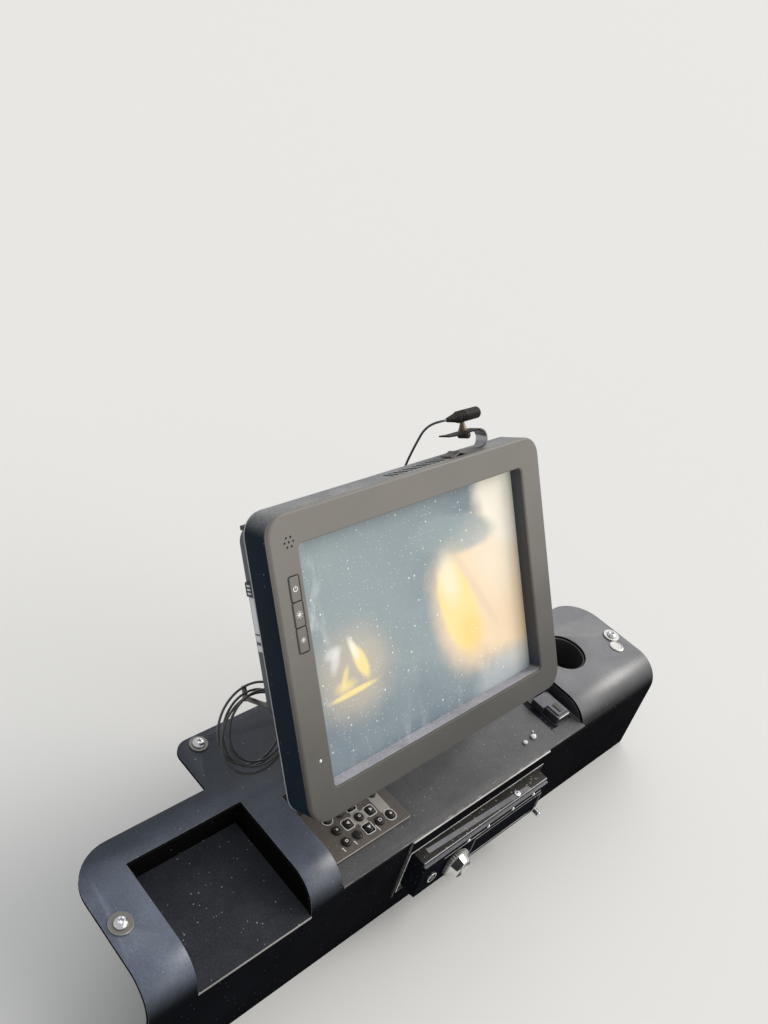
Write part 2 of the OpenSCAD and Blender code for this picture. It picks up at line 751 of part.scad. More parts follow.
console_shell();
shelf_tray();
pocket_tray();
tool_cup();
keypad_plate();
keypad_keys();
radio_sleeve();
radio_case();
radio_nose();
radio_knob();
radio_buttons();
plug_block();
stand_foot();
swivel_head();
tilt_pin();
tilt_knobs();
hinge_bracket();
display_bezel();
display_housing();
rear_chassis();
screen_glass();
screen_panel();
bezel_buttons();
mic_clip();
mic_body();
lead_socket();
lead_plug();
lead_hook();
lead_clips();
lead_run();
lead_coil();
lead_tail();
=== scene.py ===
"""Looks of a cab's dash console with its control display.

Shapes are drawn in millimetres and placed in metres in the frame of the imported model:
X to the operator's right, Y forwards, Z up. Pieces of the display are drawn flat, with
X right, Y up the screen and Z out of it, and are then leaned back onto the stand.
"""

import json
import logging
import math
from collections.abc import Callable
from dataclasses import dataclass, field, replace
from enum import Enum
from functools import reduce

import bmesh
import bpy
from bmesh.types import BMesh, BMFace, BMVert
from bpy.types import Material, Mesh, Node, NodeSocket, NodeTree, Object
from mathutils import Matrix, Vector


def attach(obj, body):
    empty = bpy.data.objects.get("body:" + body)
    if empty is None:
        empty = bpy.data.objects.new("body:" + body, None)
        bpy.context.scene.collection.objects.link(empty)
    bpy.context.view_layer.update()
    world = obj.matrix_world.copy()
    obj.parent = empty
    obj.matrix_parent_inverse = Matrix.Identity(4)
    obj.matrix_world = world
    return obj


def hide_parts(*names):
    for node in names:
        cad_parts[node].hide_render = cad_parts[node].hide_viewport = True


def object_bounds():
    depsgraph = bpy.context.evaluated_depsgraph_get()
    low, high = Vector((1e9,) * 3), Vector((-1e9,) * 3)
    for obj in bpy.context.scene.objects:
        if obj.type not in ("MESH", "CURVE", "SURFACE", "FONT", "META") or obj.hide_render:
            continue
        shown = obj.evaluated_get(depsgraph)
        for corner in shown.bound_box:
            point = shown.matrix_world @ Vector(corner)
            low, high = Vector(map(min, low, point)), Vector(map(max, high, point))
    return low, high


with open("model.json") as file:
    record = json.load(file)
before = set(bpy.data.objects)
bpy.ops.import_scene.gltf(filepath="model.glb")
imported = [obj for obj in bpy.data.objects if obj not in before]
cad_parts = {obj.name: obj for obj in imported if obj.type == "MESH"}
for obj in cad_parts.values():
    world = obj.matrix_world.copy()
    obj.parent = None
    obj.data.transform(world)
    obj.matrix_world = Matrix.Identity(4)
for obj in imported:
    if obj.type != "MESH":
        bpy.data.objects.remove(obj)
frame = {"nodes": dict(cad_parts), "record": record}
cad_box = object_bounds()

log = logging.getLogger("console")

Flat = tuple[float, float]
Point = tuple[float, float, float]
Colour = tuple[float, float, float]
Given = NodeSocket | float | Colour

MM = 0.001
SCREEN_MIDDLE = Vector((-0.025, 0.017, 0.160))
LEAN_BACK = math.radians(30)
WELD = 1e-4
CAD_WELD = 2e-6
LEAST_RADIUS = 0.05
SHARP = 35.0
SHARP_AFTER_BREAKING = 50.0
MIX_A, MIX_B, MIX_RESULT = 6, 7, 2
AS_IT_IS = Matrix.Identity(4)
UPRIGHT = Matrix.Scale(MM, 4)
LEANED = Matrix.Translation(SCREEN_MIDDLE) @ Matrix.Rotation(math.pi / 2 - LEAN_BACK, 4, "X") @ UPRIGHT


class Body(Enum):
    """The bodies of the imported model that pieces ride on."""

    CONSOLE = "console"
    SWIVEL = "swivel"
    DISPLAY = "display"

    @property
    def drawn(self) -> Matrix:
        """The frame that the body's pieces are drawn in."""
        return LEANED if self is Body.DISPLAY else UPRIGHT


BODY_OF = {node: Body(body) for body, nodes in frame["record"]["behaviour"]["bodies"].items() for node in nodes}


class NodeBench:
    """A node tree with short calls for adding and joining nodes.

    What an input is given is a socket to join, a number or a colour.
    """

    def __init__(self, tree: NodeTree) -> None:
        """Starts on an emptied tree."""
        self.tree = tree
        tree.nodes.clear()

    def feed(self, node: Node, key: str | int, given: Given) -> None:
        """Gives one input its socket or its value.

        Args:
            node: The input's node.
            key: The input's name or number.
            given: What it is given.
        """
        if isinstance(given, NodeSocket):
            self.tree.links.new(given, node.inputs[key])
        elif node.inputs[key].type == "RGBA":
            node.inputs[key].default_value = (*given[:3], 1.0)
        else:
            node.inputs[key].default_value = given

    def add(self, kind: str, *given: Given, **settings: object) -> Node:
        """Adds one node.

        Args:
            kind: The node's type, without the ShaderNode prefix where it has one.
            given: What its first inputs are given.
            settings: Attributes, or what other inputs are given, with underscores in their names.

        Returns:
            The new node.
        """
        node = self.tree.nodes.new(kind if kind.startswith("Node") else "ShaderNode" + kind)
        for key, value in settings.items():
            if hasattr(node, key):
                setattr(node, key, value)
            else:
                self.feed(node, key.replace("_", " "), value)
        for number, value in enumerate(given):
            self.feed(node, number, value)
        return node

    def math(self, operation: str, *given: Given, clamp: bool = False) -> NodeSocket:
        """Adds a Math node, whose result can be kept between 0 and 1."""
        return self.add("Math", *given, operation=operation, use_clamp=clamp).outputs[0]

    def times(self, *given: Given) -> NodeSocket:
        """Multiplies what it is given."""
        return reduce(lambda a, b: self.math("MULTIPLY", a, b), given)

    def line(self, value: Given, factor: Given, offset: Given) -> NodeSocket:
        """Gives a value times a factor plus an offset."""
        return self.math("MULTIPLY_ADD", value, factor, offset)

    def ramp(self, value: NodeSocket, zero: float, one: float) -> NodeSocket:
        """Maps a value smoothly from between two limits, in either order, to between 0 and 1."""
        return self.add("MapRange", value, zero, one, interpolation_type="SMOOTHSTEP").outputs[0]

    def mix(self, share: Given, a: Given, b: Given) -> NodeSocket:
        """Mixes two colours.

        Args:
            share: How much of b.
            a: The first colour.
            b: The second colour.

        Returns:
            The mixed colour.
        """
        node = self.add("Mix", share, data_type="RGBA")
        self.feed(node, MIX_A, a)
        self.feed(node, MIX_B, b)
        return node.outputs[MIX_RESULT]

    def noise(self, vector: NodeSocket, scale: Given, detail: float = 3.0, roughness: float = 0.5) -> NodeSocket:
        """Adds a Noise node, with its scale in waves a metre."""
        return self.add("TexNoise", Vector=vector, Scale=scale, Detail=detail, Roughness=roughness).outputs["Fac"]

    def place(self) -> NodeSocket:
        """Gives the place on the piece in metres."""
        return self.add("TexCoord").outputs["Object"]

    def axis(self, vector: NodeSocket, letter: str) -> NodeSocket:
        """Gives one coordinate of a vector."""
        return self.add("SeparateXYZ", vector).outputs[letter]


def start_group(name: str, inputs: dict[str, float | Colour],
                outputs: tuple[str, ...]) -> tuple[NodeBench, bpy.types.bpy_prop_collection]:
    """Makes an empty shader node group with named sockets.

    Args:
        name: The group's name.
        inputs: Each input's name and default value.
        outputs: Each output's name, which is a colour where it is called Color.

    Returns:
        The bench of the group, and the sockets that hold its inputs.
    """
    tree = bpy.data.node_groups.new(name, "ShaderNodeTree")
    for key, value in inputs.items():
        kind = "Color" if isinstance(value, tuple) else "Float"
        socket = tree.interface.new_socket(name=key, in_out="INPUT", socket_type="NodeSocket" + kind)
        socket.default_value = (*value, 1.0) if kind == "Color" else value
    for key in outputs:
        kind = "Color" if key == "Color" else "Float"
        tree.interface.new_socket(name=key, in_out="OUTPUT", socket_type="NodeSocket" + kind)
    bench = NodeBench(tree)
    return bench, bench.add("NodeGroupInput").outputs


def grain_group() -> NodeTree:
    """Makes the fine relief of a powder coat or a moulded grain.

    Returns:
        A group that gives a height and a value for unevenness.
    """
    bench, given = start_group("fine_grain", {"Scale": 900.0}, ("Height", "Uneven"))
    place = bench.place()
    cells = bench.add("TexVoronoi", feature="SMOOTH_F1", Vector=place, Scale=given["Scale"])
    height = bench.line(bench.noise(place, given["Scale"]), 0.6, cells.outputs["Distance"])
    uneven = bench.ramp(bench.noise(place, 15.0, 5.0, 0.6), 0.3, 0.7)
    bench.add("NodeGroupOutput", Height=height, Uneven=uneven)
    return bench.tree


def dust_and_top_light_group() -> NodeTree:
    """Makes the film of dust that settles on what faces up, with scattered specks; on the console's coat, the housing
    and the reveal this pale film on upward faces is also painted light.

    Returns:
        A group that gives the dusted colour, a mask of the dust and how far the surface faces up.
    """
    bench, given = start_group(
        "settled_dust_and_top_light",
        {"Color": (0.1, 0.1, 0.1), "Dust": (0.42, 0.36, 0.28), "Film": 0.2, "Specks": 0.3, "Speck Scale": 320.0,
         "Speck Size": 0.2},
        ("Color", "Mask", "Up"),
    )
    place = bench.place()
    facing_up = bench.ramp(bench.axis(bench.add("TexCoord").outputs["Normal"], "Z"), 0.05, 0.95)
    cloud = bench.line(bench.ramp(bench.noise(place, 34.0, 7.0, 0.68), 0.34, 0.7), 0.22, 0.64)
    fine = bench.math("ADD", bench.noise(place, 620.0, 2.0), 0.5)
    lying = bench.line(bench.math("POWER", facing_up, 1.6), 0.98, 0.02)
    film = bench.times(cloud, fine, given["Film"], lying)
    cells = bench.add("TexVoronoi", Vector=place, Scale=given["Speck Scale"]).outputs
    chosen = bench.add("SeparateColor", cells["Color"]).outputs
    rare = bench.math("LESS_THAN", chosen[0], given["Specks"])
    dot = bench.math("LESS_THAN", cells["Distance"], bench.times(chosen[1], given["Speck Size"]))
    speck = bench.times(rare, dot, 0.85, bench.line(facing_up, 0.6, 0.4))
    mask = bench.math("MAXIMUM", film, speck, clamp=True)
    bench.add("NodeGroupOutput", Color=bench.mix(mask, given["Color"], given["Dust"]), Mask=mask, Up=facing_up)
    return bench.tree


def scratch_group() -> NodeTree:
    """Makes the fine scratches of handled metal.

    Returns:
        A group that gives a height.
    """
    bench, given = start_group("handling_marks", {"Scale": 60.0}, ("Height",))
    lines = bench.add("VectorMath", bench.place(), (1.0, 12.0, 1.0), operation="MULTIPLY").outputs[0]
    bench.add("NodeGroupOutput", Height=bench.noise(lines, given["Scale"], 4.0))
    return bench.tree


def wear_group() -> NodeTree:
    """Makes the patches where a coat is rubbed through to what is under it.

    Returns:
        A group that gives the worn colour and a mask of the bare patches.
    """
    bench, given = start_group("rubbed_through", {"Color": (0.1, 0.1, 0.1), "Bare": (0.5, 0.5, 0.5), "Amount": 0.5},
                               ("Color", "Mask"))
    place = bench.place()
    fine = bench.times(bench.noise(place, 900.0, 3.0, 0.6), 0.4)
    rubbed = bench.line(bench.noise(place, 60.0, 4.0, 0.6), 0.6, fine)
    level = bench.line(given["Amount"], -0.5, 0.75)
    mask = bench.math("MULTIPLY", bench.math("SUBTRACT", rubbed, level), 9.0, clamp=True)
    bench.add("NodeGroupOutput", Color=bench.mix(mask, given["Color"], given["Bare"]), Mask=mask)
    return bench.tree


@dataclass
class SharedGroups:
    """The node groups that several finishes use, each built once."""

    grain: NodeTree = field(default_factory=grain_group)
    dust_and_top_light: NodeTree = field(default_factory=dust_and_top_light_group)
    scratches: NodeTree = field(default_factory=scratch_group)
    wear: NodeTree = field(default_factory=wear_group)


GROUPS = SharedGroups()


def start_material(name: str, **settings: object) -> tuple[Material, NodeBench, Node]:
    """Makes a material with one Principled shader.

    Args:
        name: Its name.
        settings: What the shader's inputs are given.

    Returns:
        The material, its bench and its shader.
    """
    made = bpy.data.materials.new(name)
    made.use_nodes = True
    bench = NodeBench(made.node_tree)
    shader = bench.add("BsdfPrincipled", **settings)
    bench.add("OutputMaterial", Surface=shader.outputs[0])
    return made, bench, shader


@dataclass(frozen=True)
class Finish:
    """A dusty coat, plastic, rubber or metal.

    Lengths are metres and colours are linear.
    """

    name: str
    colour: Colour
    roughness: float = 0.5
    metallic: float = 0.0
    specular: float = 0.5
    coat: float = 0.0
    coat_roughness: float = 0.2
    coat_ior: float = 1.5
    # Painted sheen, through the coat's weight on what faces up.
    sheen_up: float = 0.0
    grain_scale: float = 1200.0
    grain_depth: float = 0.0
    scratch_depth: float = 0.0
    unevenness: float = 0.1
    dust_and_top_light_colour: Colour = (0.42, 0.38, 0.32)
    dust_and_top_light_film: float = 0.2
    specks: float = 0.1
    speck_scale: float = 320.0
    speck_size: float = 0.2
    bare: Colour = (0.5, 0.5, 0.5)
    worn: float = 0.0
    # Painted shade low on the display.
    low_shade: float = 0.0
    # Painted cool sky reflection at the left, with its tint on the next line.
    cool_left: float = 0.0
    cooler: Colour = (0.80, 1.02, 1.38)
    # Painted shade at the back left, behind the display.
    back_shade: float = 0.0
    gloss_spread: float = 0.12
    scratch_scale: float = 60.0

    def material(self) -> Material:
        """Finds or builds the finish's material.

        Returns:
            The material, with its nodes in place.
        """
        name = self.name + "_look"
        if name in bpy.data.materials:
            return bpy.data.materials[name]
        made, bench, shader = start_material(
            name, Metallic=self.metallic, Coat_Weight=self.coat, Coat_Roughness=self.coat_roughness,
            Coat_IOR=self.coat_ior, Specular_IOR_Level=self.specular)
        self._paint(bench, shader)
        self._relief(bench, shader)
        return made

    def _paint(self, bench: NodeBench, shader: Node) -> None:
        """Adds the colour, the wear, the dust and the uneven gloss, with the painted shade, sheen and cool reflection
        that a finish asks for.

        Args:
            bench: The material's bench.
            shader: Its Principled shader.
        """
        uneven = bench.add("Group", node_tree=GROUPS.grain, Scale=self.grain_scale).outputs["Uneven"]
        tones = [tuple(min(1.0, c * k) for c in self.colour) for k in (1 - self.unevenness, 1 + self.unevenness)]
        colour = bench.mix(uneven, *tones)
        if self.worn > 0:
            wear = bench.add("Group", node_tree=GROUPS.wear, Color=colour, Amount=self.worn, Bare=self.bare).outputs
            colour = wear["Color"]
            bench.feed(shader, "Metallic", bench.times(wear["Mask"], 0.8))
        dust_and_top_light = bench.add("Group", node_tree=GROUPS.dust_and_top_light, Color=colour, Dust=self.dust_and_top_light_colour, Film=self.dust_and_top_light_film,
                         Specks=self.specks, Speck_Scale=self.speck_scale, Speck_Size=self.speck_size)
        if self.cool_left > 0:
            # Painted cool sky reflection in the dust, bluer towards the left end.
            bench.feed(dust_and_top_light, "Dust", self._painted_cool_reflection(bench))
            # Painted shade: less dust film at the back left, behind the display.
            bench.feed(dust_and_top_light, "Film", bench.times(self._painted_back_shade(bench), self.dust_and_top_light_film))
        colour = dust_and_top_light.outputs["Color"]
        # Painted shade, darker towards the bottom of the display.
        if self.low_shade > 0:
            colour = self._painted_low_shade(bench, colour)
        bench.feed(shader, "Base Color", colour)
        gloss = bench.line(uneven, self.gloss_spread, self.roughness - self.gloss_spread / 2)
        dulled = bench.math("MULTIPLY_ADD", dust_and_top_light.outputs["Mask"], 0.5, gloss, clamp=True)
        bench.feed(shader, "Roughness", dulled)
        # Painted sheen: the coat's weight follows how far a face points up, and is less at the left end and at the back
        # left.
        if self.sheen_up > 0:
            sheen = bench.times(bench.math("POWER", dust_and_top_light.outputs["Up"], 1.7), self.sheen_up)
            bench.feed(shader, "Coat Weight", bench.times(sheen, self._painted_sheen_by_side(bench), self._painted_back_shade(bench)))

    def _painted_sheen_by_side(self, bench: NodeBench) -> NodeSocket:
        """Makes the mask of painted sheen that keeps the left end's coat duller than the right end's."""
        return bench.line(bench.ramp(bench.axis(bench.place(), "X"), -0.22, 0.2), 0.3, 0.7)

    def _painted_back_shade(self, bench: NodeBench) -> NodeSocket:
        """Makes the mask of painted shade that keeps the console darker at its back left, behind the display.

        Args:
            bench: The material's bench.

        Returns:
            The mask, one where nothing is darker.
        """
        place = bench.place()
        behind = bench.ramp(bench.axis(place, "Y"), 0.022, 0.062)
        left = bench.ramp(bench.axis(place, "X"), 0.10, -0.05)
        return bench.line(bench.times(behind, left), -self.back_shade, 1.0)

    def _painted_cool_reflection(self, bench: NodeBench) -> NodeSocket:
        """Tints the dust with a painted cool sky reflection, bluer towards the left end.

        Args:
            bench: The material's bench.

        Returns:
            The dust's colour with the painted reflection.
        """
        left = bench.ramp(bench.axis(bench.place(), "X"), 0.06, -0.27)
        cool = tuple(c * k for c, k in zip(self.dust_and_top_light_colour, self.cooler))
        return bench.mix(bench.times(left, self.cool_left), self.dust_and_top_light_colour, cool)

    def _painted_low_shade(self, bench: NodeBench, colour: NodeSocket) -> NodeSocket:
        """Paints shade low on the display, darker towards the bottom.

        Args:
            bench: The material's bench.
            colour: The colour without the painted shade.

        Returns:
            The colour with the painted shade.
        """
        place = bench.place()
        height = bench.line(bench.noise(place, 12.0, 4.0), 0.06, bench.axis(place, "Z"))
        return bench.mix(bench.times(bench.ramp(height, 0.27, 0.06), self.low_shade), colour, (0.02, 0.02, 0.018))

    def _relief(self, bench: NodeBench, shader: Node) -> None:
        """Adds the bump of the grain and of the scratches.

        Args:
            bench: The material's bench.
            shader: Its Principled shader.
        """
        target = shader
        for depth, tree, scale in ((self.scratch_depth, GROUPS.scratches, self.scratch_scale),
                                   (self.grain_depth, GROUPS.grain, self.grain_scale)):
            if depth > 0:
                height = bench.add("Group", node_tree=tree, Scale=scale).outputs["Height"]
                bump = bench.add("Bump", Distance=depth, Strength=1.0, Height=height)
                bench.feed(target, "Normal", bump.outputs[0])
                target = bump


@dataclass(frozen=True)
class DustyScreenWithReflections:
    """A switched-off screen under a hazy film of dust whose blue-grey is partly painted sky reflection, with painted
    reflections of warm light and pale smears.

    Places are millimetres from the screen's middle, right and up.
    """

    name: str = "dusty_screen_painted_reflections"
    # The hazy blue-grey, partly painted sky reflection.
    film: Colour = (0.305, 0.365, 0.380)
    deep: Colour = (0.185, 0.235, 0.270)
    warm: Colour = (1.0, 0.76, 0.50)
    pale: Colour = (1.0, 0.93, 0.78)
    yellow: Colour = (1.0, 0.80, 0.34)
    orange: Colour = (1.0, 0.66, 0.20)
    smear: Colour = (0.62, 0.66, 0.66)
    speck: Colour = (0.85, 0.85, 0.82)
    wander: float = 0.42

    def material(self) -> Material:
        """Builds the material.

        Returns:
            The material, with its nodes in place.
        """
        made, bench, shader = start_material(self.name, Coat_Weight=0.35, Coat_Roughness=0.12,
                                             Specular_IOR_Level=0.35)
        place = bench.add("Mapping", bench.place(), vector_type="TEXTURE", Location=SCREEN_MIDDLE,
                          Rotation=(math.pi / 2 - LEAN_BACK, 0.0, 0.0)).outputs[0]
        haze = bench.ramp(bench.noise(place, 9.0, 6.0, 0.6), 0.35, 0.68)
        blur = bench.noise(place, 26.0, 4.0)
        colour = bench.mix(haze, self.deep, self.film)
        # Soft ovals: the warm, pale, yellow and orange ones are painted reflections; the others are patches of the
        # film, a smear and specks.
        for tint, middle, reach, turn, edge, share in (
            (self.film, (-70, 60), (95, 80), 0, 0.5, 0.8),
            (self.deep, (-50, -82), (85, 34), 0, 0.5, 0.6),
            (self.warm, (122, -4), (98, 72), 0, 0.24, 0.92),
            (self.pale, (126, 78), (50, 52), 0, 0.2, 0.95),
            (self.film, (44, 55), (52, 16), -10, 0.2, 0.95),
            (self.pale, (104, 24), (48, 32), 0, 0.9, 0.5),
            (self.film, (61, 3), (5, 34), 31, 0.8, 0.35),
            (self.warm, (44, -14), (32, 52), 15, 0.4, 0.6),
            (self.yellow, (41, -8), (20, 40), 17, 0.16, 0.92),
            (self.pale, (33, 18), (10, 20), 12, 0.7, 0.6),
            (self.smear, (104, -92), (52, 26), 0, 0.4, 0.6),
            (self.warm, (-82, -22), (36, 32), 0, 0.6, 0.35),
            (self.speck, (-99, 0), (7.5, 4.5), 8, 0.6, 0.6),
            (self.speck, (-97.5, -6), (4, 9), -22, 0.6, 0.6),
            (self.yellow, (-73, -15), (5.5, 15), 21, 0.3, 0.9),
            (self.pale, (-78.5, -3), (3, 10), 21, 0.5, 0.8),
            (self.yellow, (-90.5, -22), (2.5, 8), -24, 0.5, 0.7),
            (self.yellow, (-91, -29), (8, 4), 0, 0.9, 0.75),
            (self.yellow, (-84, -36), (21, 2.3), 2, 0.45, 0.9),
            (self.orange, (53, -35), (14, 18), 20, 0.7, 0.6),
        ):
            oval = bench.add("Mapping", place, vector_type="TEXTURE", Location=(middle[0] * MM, middle[1] * MM, 0.0),
                             Rotation=(0.0, 0.0, math.radians(turn)), Scale=(reach[0] * MM, reach[1] * MM, 1.0))
            distance = bench.add("VectorMath", oval.outputs[0], operation="LENGTH").outputs["Value"]
            border = 1 + self.wander / 2
            spot = bench.ramp(bench.line(blur, self.wander, distance), border + edge, border - edge)
            colour = bench.mix(bench.times(spot, share), colour, tint)
        colour = bench.mix(self._smears(bench, place), colour, self.smear)
        dots = bench.math("MAXIMUM", self._dots(bench, place, 150.0, 0.34, 0.13),
                          self._dots(bench, place, 420.0, 0.4, 0.16))
        bench.feed(shader, "Base Color", bench.mix(dots, colour, self.speck))
        bench.feed(shader, "Roughness", bench.line(dots, 0.3, bench.line(haze, 0.18, 0.36)))
        return made

    @staticmethod
    def _smears(bench: NodeBench, place: NodeSocket) -> NodeSocket:
        """Makes the pale wiped smears, strongest at the left and low on the screen.

        Args:
            bench: The material's bench.
            place: The place on the screen.

        Returns:
            The mask.
        """
        strokes = bench.add("VectorMath", place, (3.0, 1.0, 1.0), operation="MULTIPLY").outputs[0]
        wiped = bench.ramp(bench.noise(strokes, 26.0, 6.0, 0.62), 0.53, 0.74)
        left = bench.ramp(bench.axis(place, "X"), -0.085, -0.122)
        low = bench.ramp(bench.axis(place, "Y"), -0.04, -0.09)
        return bench.times(wiped, bench.math("MAXIMUM", bench.times(left, 0.9), bench.times(low, 0.35)))

    @staticmethod
    def _dots(bench: NodeBench, place: NodeSocket, scale: float, share: float, size: float) -> NodeSocket:
        """Makes scattered specks.

        Args:
            bench: The material's bench.
            place: The place on the screen.
            scale: Cells a metre.
            share: The share of the cells that hold a speck.
            size: The largest speck's radius as a share of a cell.

        Returns:
            The mask.
        """
        cells = bench.add("TexVoronoi", voronoi_dimensions="2D", Vector=place, Scale=scale).outputs
        chosen = bench.add("SeparateColor", cells["Color"]).outputs
        rare = bench.math("LESS_THAN", chosen[0], share)
        dot = bench.math("LESS_THAN", cells["Distance"], bench.times(chosen[1], chosen[1], size))
        return bench.times(rare, dot, 0.9)


# The powder coat has painted sheen on what faces up, a painted cool sky reflection at the left and painted shade at the
# back left; its pale dust film on top is partly painted sheen.
POWDER_BLACK = Finish(
    "powder_black", (0.005, 0.005, 0.006), specular=0.0, sheen_up=0.95, coat_roughness=0.4, coat_ior=1.8,
    grain_scale=1500, grain_depth=0.00004, dust_and_top_light_colour=(0.40, 0.395, 0.41), dust_and_top_light_film=0.33, specks=0.16,
    speck_scale=300, speck_size=0.15, unevenness=0.2, cool_left=1.0, back_shade=0.62)
SHELF_BLACK = Finish(
    "shelf_black", (0.022, 0.022, 0.025), roughness=0.55, specular=0.2, sheen_up=0.35, coat_roughness=0.4,
    grain_scale=1500, grain_depth=0.00004, dust_and_top_light_colour=(0.42, 0.40, 0.40), dust_and_top_light_film=0.22, specks=0.35,
    speck_scale=330, speck_size=0.17, unevenness=0.2)
POCKET_BLACK = Finish(
    "pocket_black", (0.003, 0.003, 0.003), roughness=0.75, specular=0.0, grain_scale=900, grain_depth=0.00004,
    dust_and_top_light_colour=(0.38, 0.40, 0.47), dust_and_top_light_film=0.12, specks=0.4, speck_scale=360, unevenness=0.3)
WORN_EDGE = Finish(
    "worn_edge", (0.038, 0.038, 0.040), roughness=0.45, specular=0.3, unevenness=0.3, bare=(0.26, 0.255, 0.25),
    worn=0.5, dust_and_top_light_film=0.3)
BARE_EDGE = Finish(
    "bare_edge", (0.30, 0.295, 0.285), roughness=0.4, metallic=0.6, scratch_depth=0.00003, dust_and_top_light_film=0.3, specks=0.05)
KEYPAD_BROWN = Finish(
    "keypad_brown", (0.038, 0.032, 0.028), specular=0.4, grain_scale=1100, grain_depth=0.00006,
    dust_and_top_light_colour=(0.36, 0.30, 0.25), dust_and_top_light_film=0.34, specks=0.5, speck_scale=430, unevenness=0.3)
KEYPAD_EDGE_DUST_AND_HIGHLIGHT = Finish("keypad_edge_dust_and_highlight", (0.28, 0.25, 0.22), unevenness=0.3, dust_and_top_light_film=0.3)
KEY_BLACK = Finish(
    "key_black", (0.009, 0.009, 0.009), roughness=0.32, specular=0.12, coat=0.12, dust_and_top_light_film=0.07, specks=0.25,
    speck_scale=520)
PRINT_WHITE = Finish("print_white", (0.88, 0.86, 0.82), roughness=0.6, dust_and_top_light_film=0.1, specks=0.0)
PRINT_GREY = Finish(
    "print_grey", (0.40, 0.37, 0.33), roughness=0.6, unevenness=0.2, dust_and_top_light_film=0.3, specks=0.4, speck_scale=430)
PRINT_BLACK = Finish("print_black", (0.012, 0.012, 0.012), dust_and_top_light_film=0.08, specks=0.0)
SOFT_BLACK = Finish("soft_black", (0.022, 0.021, 0.021), roughness=0.55, grain_depth=0.00005, specks=0.2)
DUSTY_GREY = Finish(
    "dusty_grey", (0.030, 0.030, 0.033), roughness=0.6, specular=0.2, grain_depth=0.00005,
    dust_and_top_light_colour=(0.40, 0.39, 0.43), dust_and_top_light_film=0.5, specks=0.2, unevenness=0.2)
GLOSS_BLACK = Finish(
    "gloss_black", (0.006, 0.007, 0.010), roughness=0.3, dust_and_top_light_film=0.3, specks=0.4, speck_scale=450, specular=0.0)
DUSTY_STRIP = Finish(
    "dusty_strip", (0.014, 0.014, 0.014), roughness=0.55, specular=0.15, grain_scale=700, grain_depth=0.00008,
    dust_and_top_light_film=0.07, specks=0.6, speck_scale=420, speck_size=0.32, unevenness=0.6)
# The bezel is darkened towards the bottom with painted shade.
BEZEL_TAUPE = Finish(
    "bezel_taupe", (0.200, 0.186, 0.166), specular=0.3, grain_scale=1400, grain_depth=0.00004,
    dust_and_top_light_colour=(0.5, 0.46, 0.4), dust_and_top_light_film=0.10, specks=0.05, speck_scale=240, speck_size=0.12, unevenness=0.05,
    low_shade=0.76)
# The reveal's pale lavender dust on its upward ledge is partly painted light.
REVEAL_DUST_AND_LIGHT = Finish(
    "reveal_dust_and_painted_light", (0.030, 0.036, 0.045), roughness=0.45, dust_and_top_light_colour=(0.66, 0.64, 0.70), dust_and_top_light_film=0.9, specks=0.4,
    speck_scale=420, speck_size=0.25)
# The housing's blue-black is painted shade on its sides; its pale dust on top is partly painted light.
HOUSING_SHADE_AND_DUST = Finish(
    "housing_blue_black", (0.008, 0.016, 0.026), roughness=0.45, specular=0.01, grain_scale=1400, grain_depth=0.00004,
    dust_and_top_light_colour=(0.46, 0.45, 0.44), dust_and_top_light_film=0.85, specks=0.08)
CASE_GREY = Finish(
    "case_grey", (0.060, 0.072, 0.082), roughness=0.45, metallic=0.2, scratch_depth=0.00003, dust_and_top_light_film=0.4)
LABEL_BLANK = Finish("label_blank", (0.36, 0.38, 0.41))
STEEL = Finish(
    "worn_steel", (0.48, 0.47, 0.45), roughness=0.34, metallic=1.0, scratch_depth=0.00004, dust_and_top_light_film=0.16,
    unevenness=0.2)
DARK_STEEL = Finish(
    "dark_steel", (0.14, 0.135, 0.13), roughness=0.42, metallic=0.9, scratch_depth=0.00004, dust_and_top_light_film=0.25,
    specks=0.2)
CHROME = Finish(
    "dulled_chrome", (0.72, 0.72, 0.72), roughness=0.2, metallic=1.0, scratch_depth=0.00002, dust_and_top_light_film=0.14,
    specks=0.2, speck_scale=600)
BRASS = Finish("dull_brass", (0.13, 0.10, 0.06), roughness=0.36, metallic=0.9, specks=0.0)
RUSTY_SPRING = Finish("rusty_spring", (0.026, 0.013, 0.011), metallic=0.4, unevenness=0.5, dust_and_top_light_film=0.1)
MIC_BLACK = Finish(
    "mic_black", (0.012, 0.011, 0.010), roughness=0.45, specular=0.06, grain_depth=0.00003, dust_and_top_light_film=0.07,
    specks=0.2, speck_scale=700)
DUSTY_BAND = Finish(
    "dusty_band", (0.17, 0.168, 0.178), roughness=0.6, dust_and_top_light_colour=(0.40, 0.40, 0.42), dust_and_top_light_film=0.35, specks=0.5,
    speck_scale=420, speck_size=0.3, unevenness=0.5)
LEAD_GREY = Finish("lead_grey", (0.026, 0.028, 0.031), roughness=0.34, coat=0.3, dust_and_top_light_film=0.14, specks=0.0)
LIT_EDGE = Finish("lit_edge", (0.56, 0.55, 0.54), roughness=0.45, unevenness=0.4, dust_and_top_light_film=0.1)
PAPER_WHITE = Finish("paper_white", (0.66, 0.68, 0.70))
DARK_REFLECTION = Finish("painted_dark_reflection", (0.035, 0.036, 0.040), roughness=0.12, metallic=1.0, dust_and_top_light_film=0.08, specks=0.2)
DARK_CHROME = Finish(
    "dark_chrome", (0.30, 0.30, 0.31), roughness=0.13, metallic=1.0, dust_and_top_light_film=0.1, specks=0.2, speck_scale=600)
CRUMB_WHITE = Finish("dried_dirt", (0.86, 0.86, 0.83), roughness=0.9, unevenness=0.2)


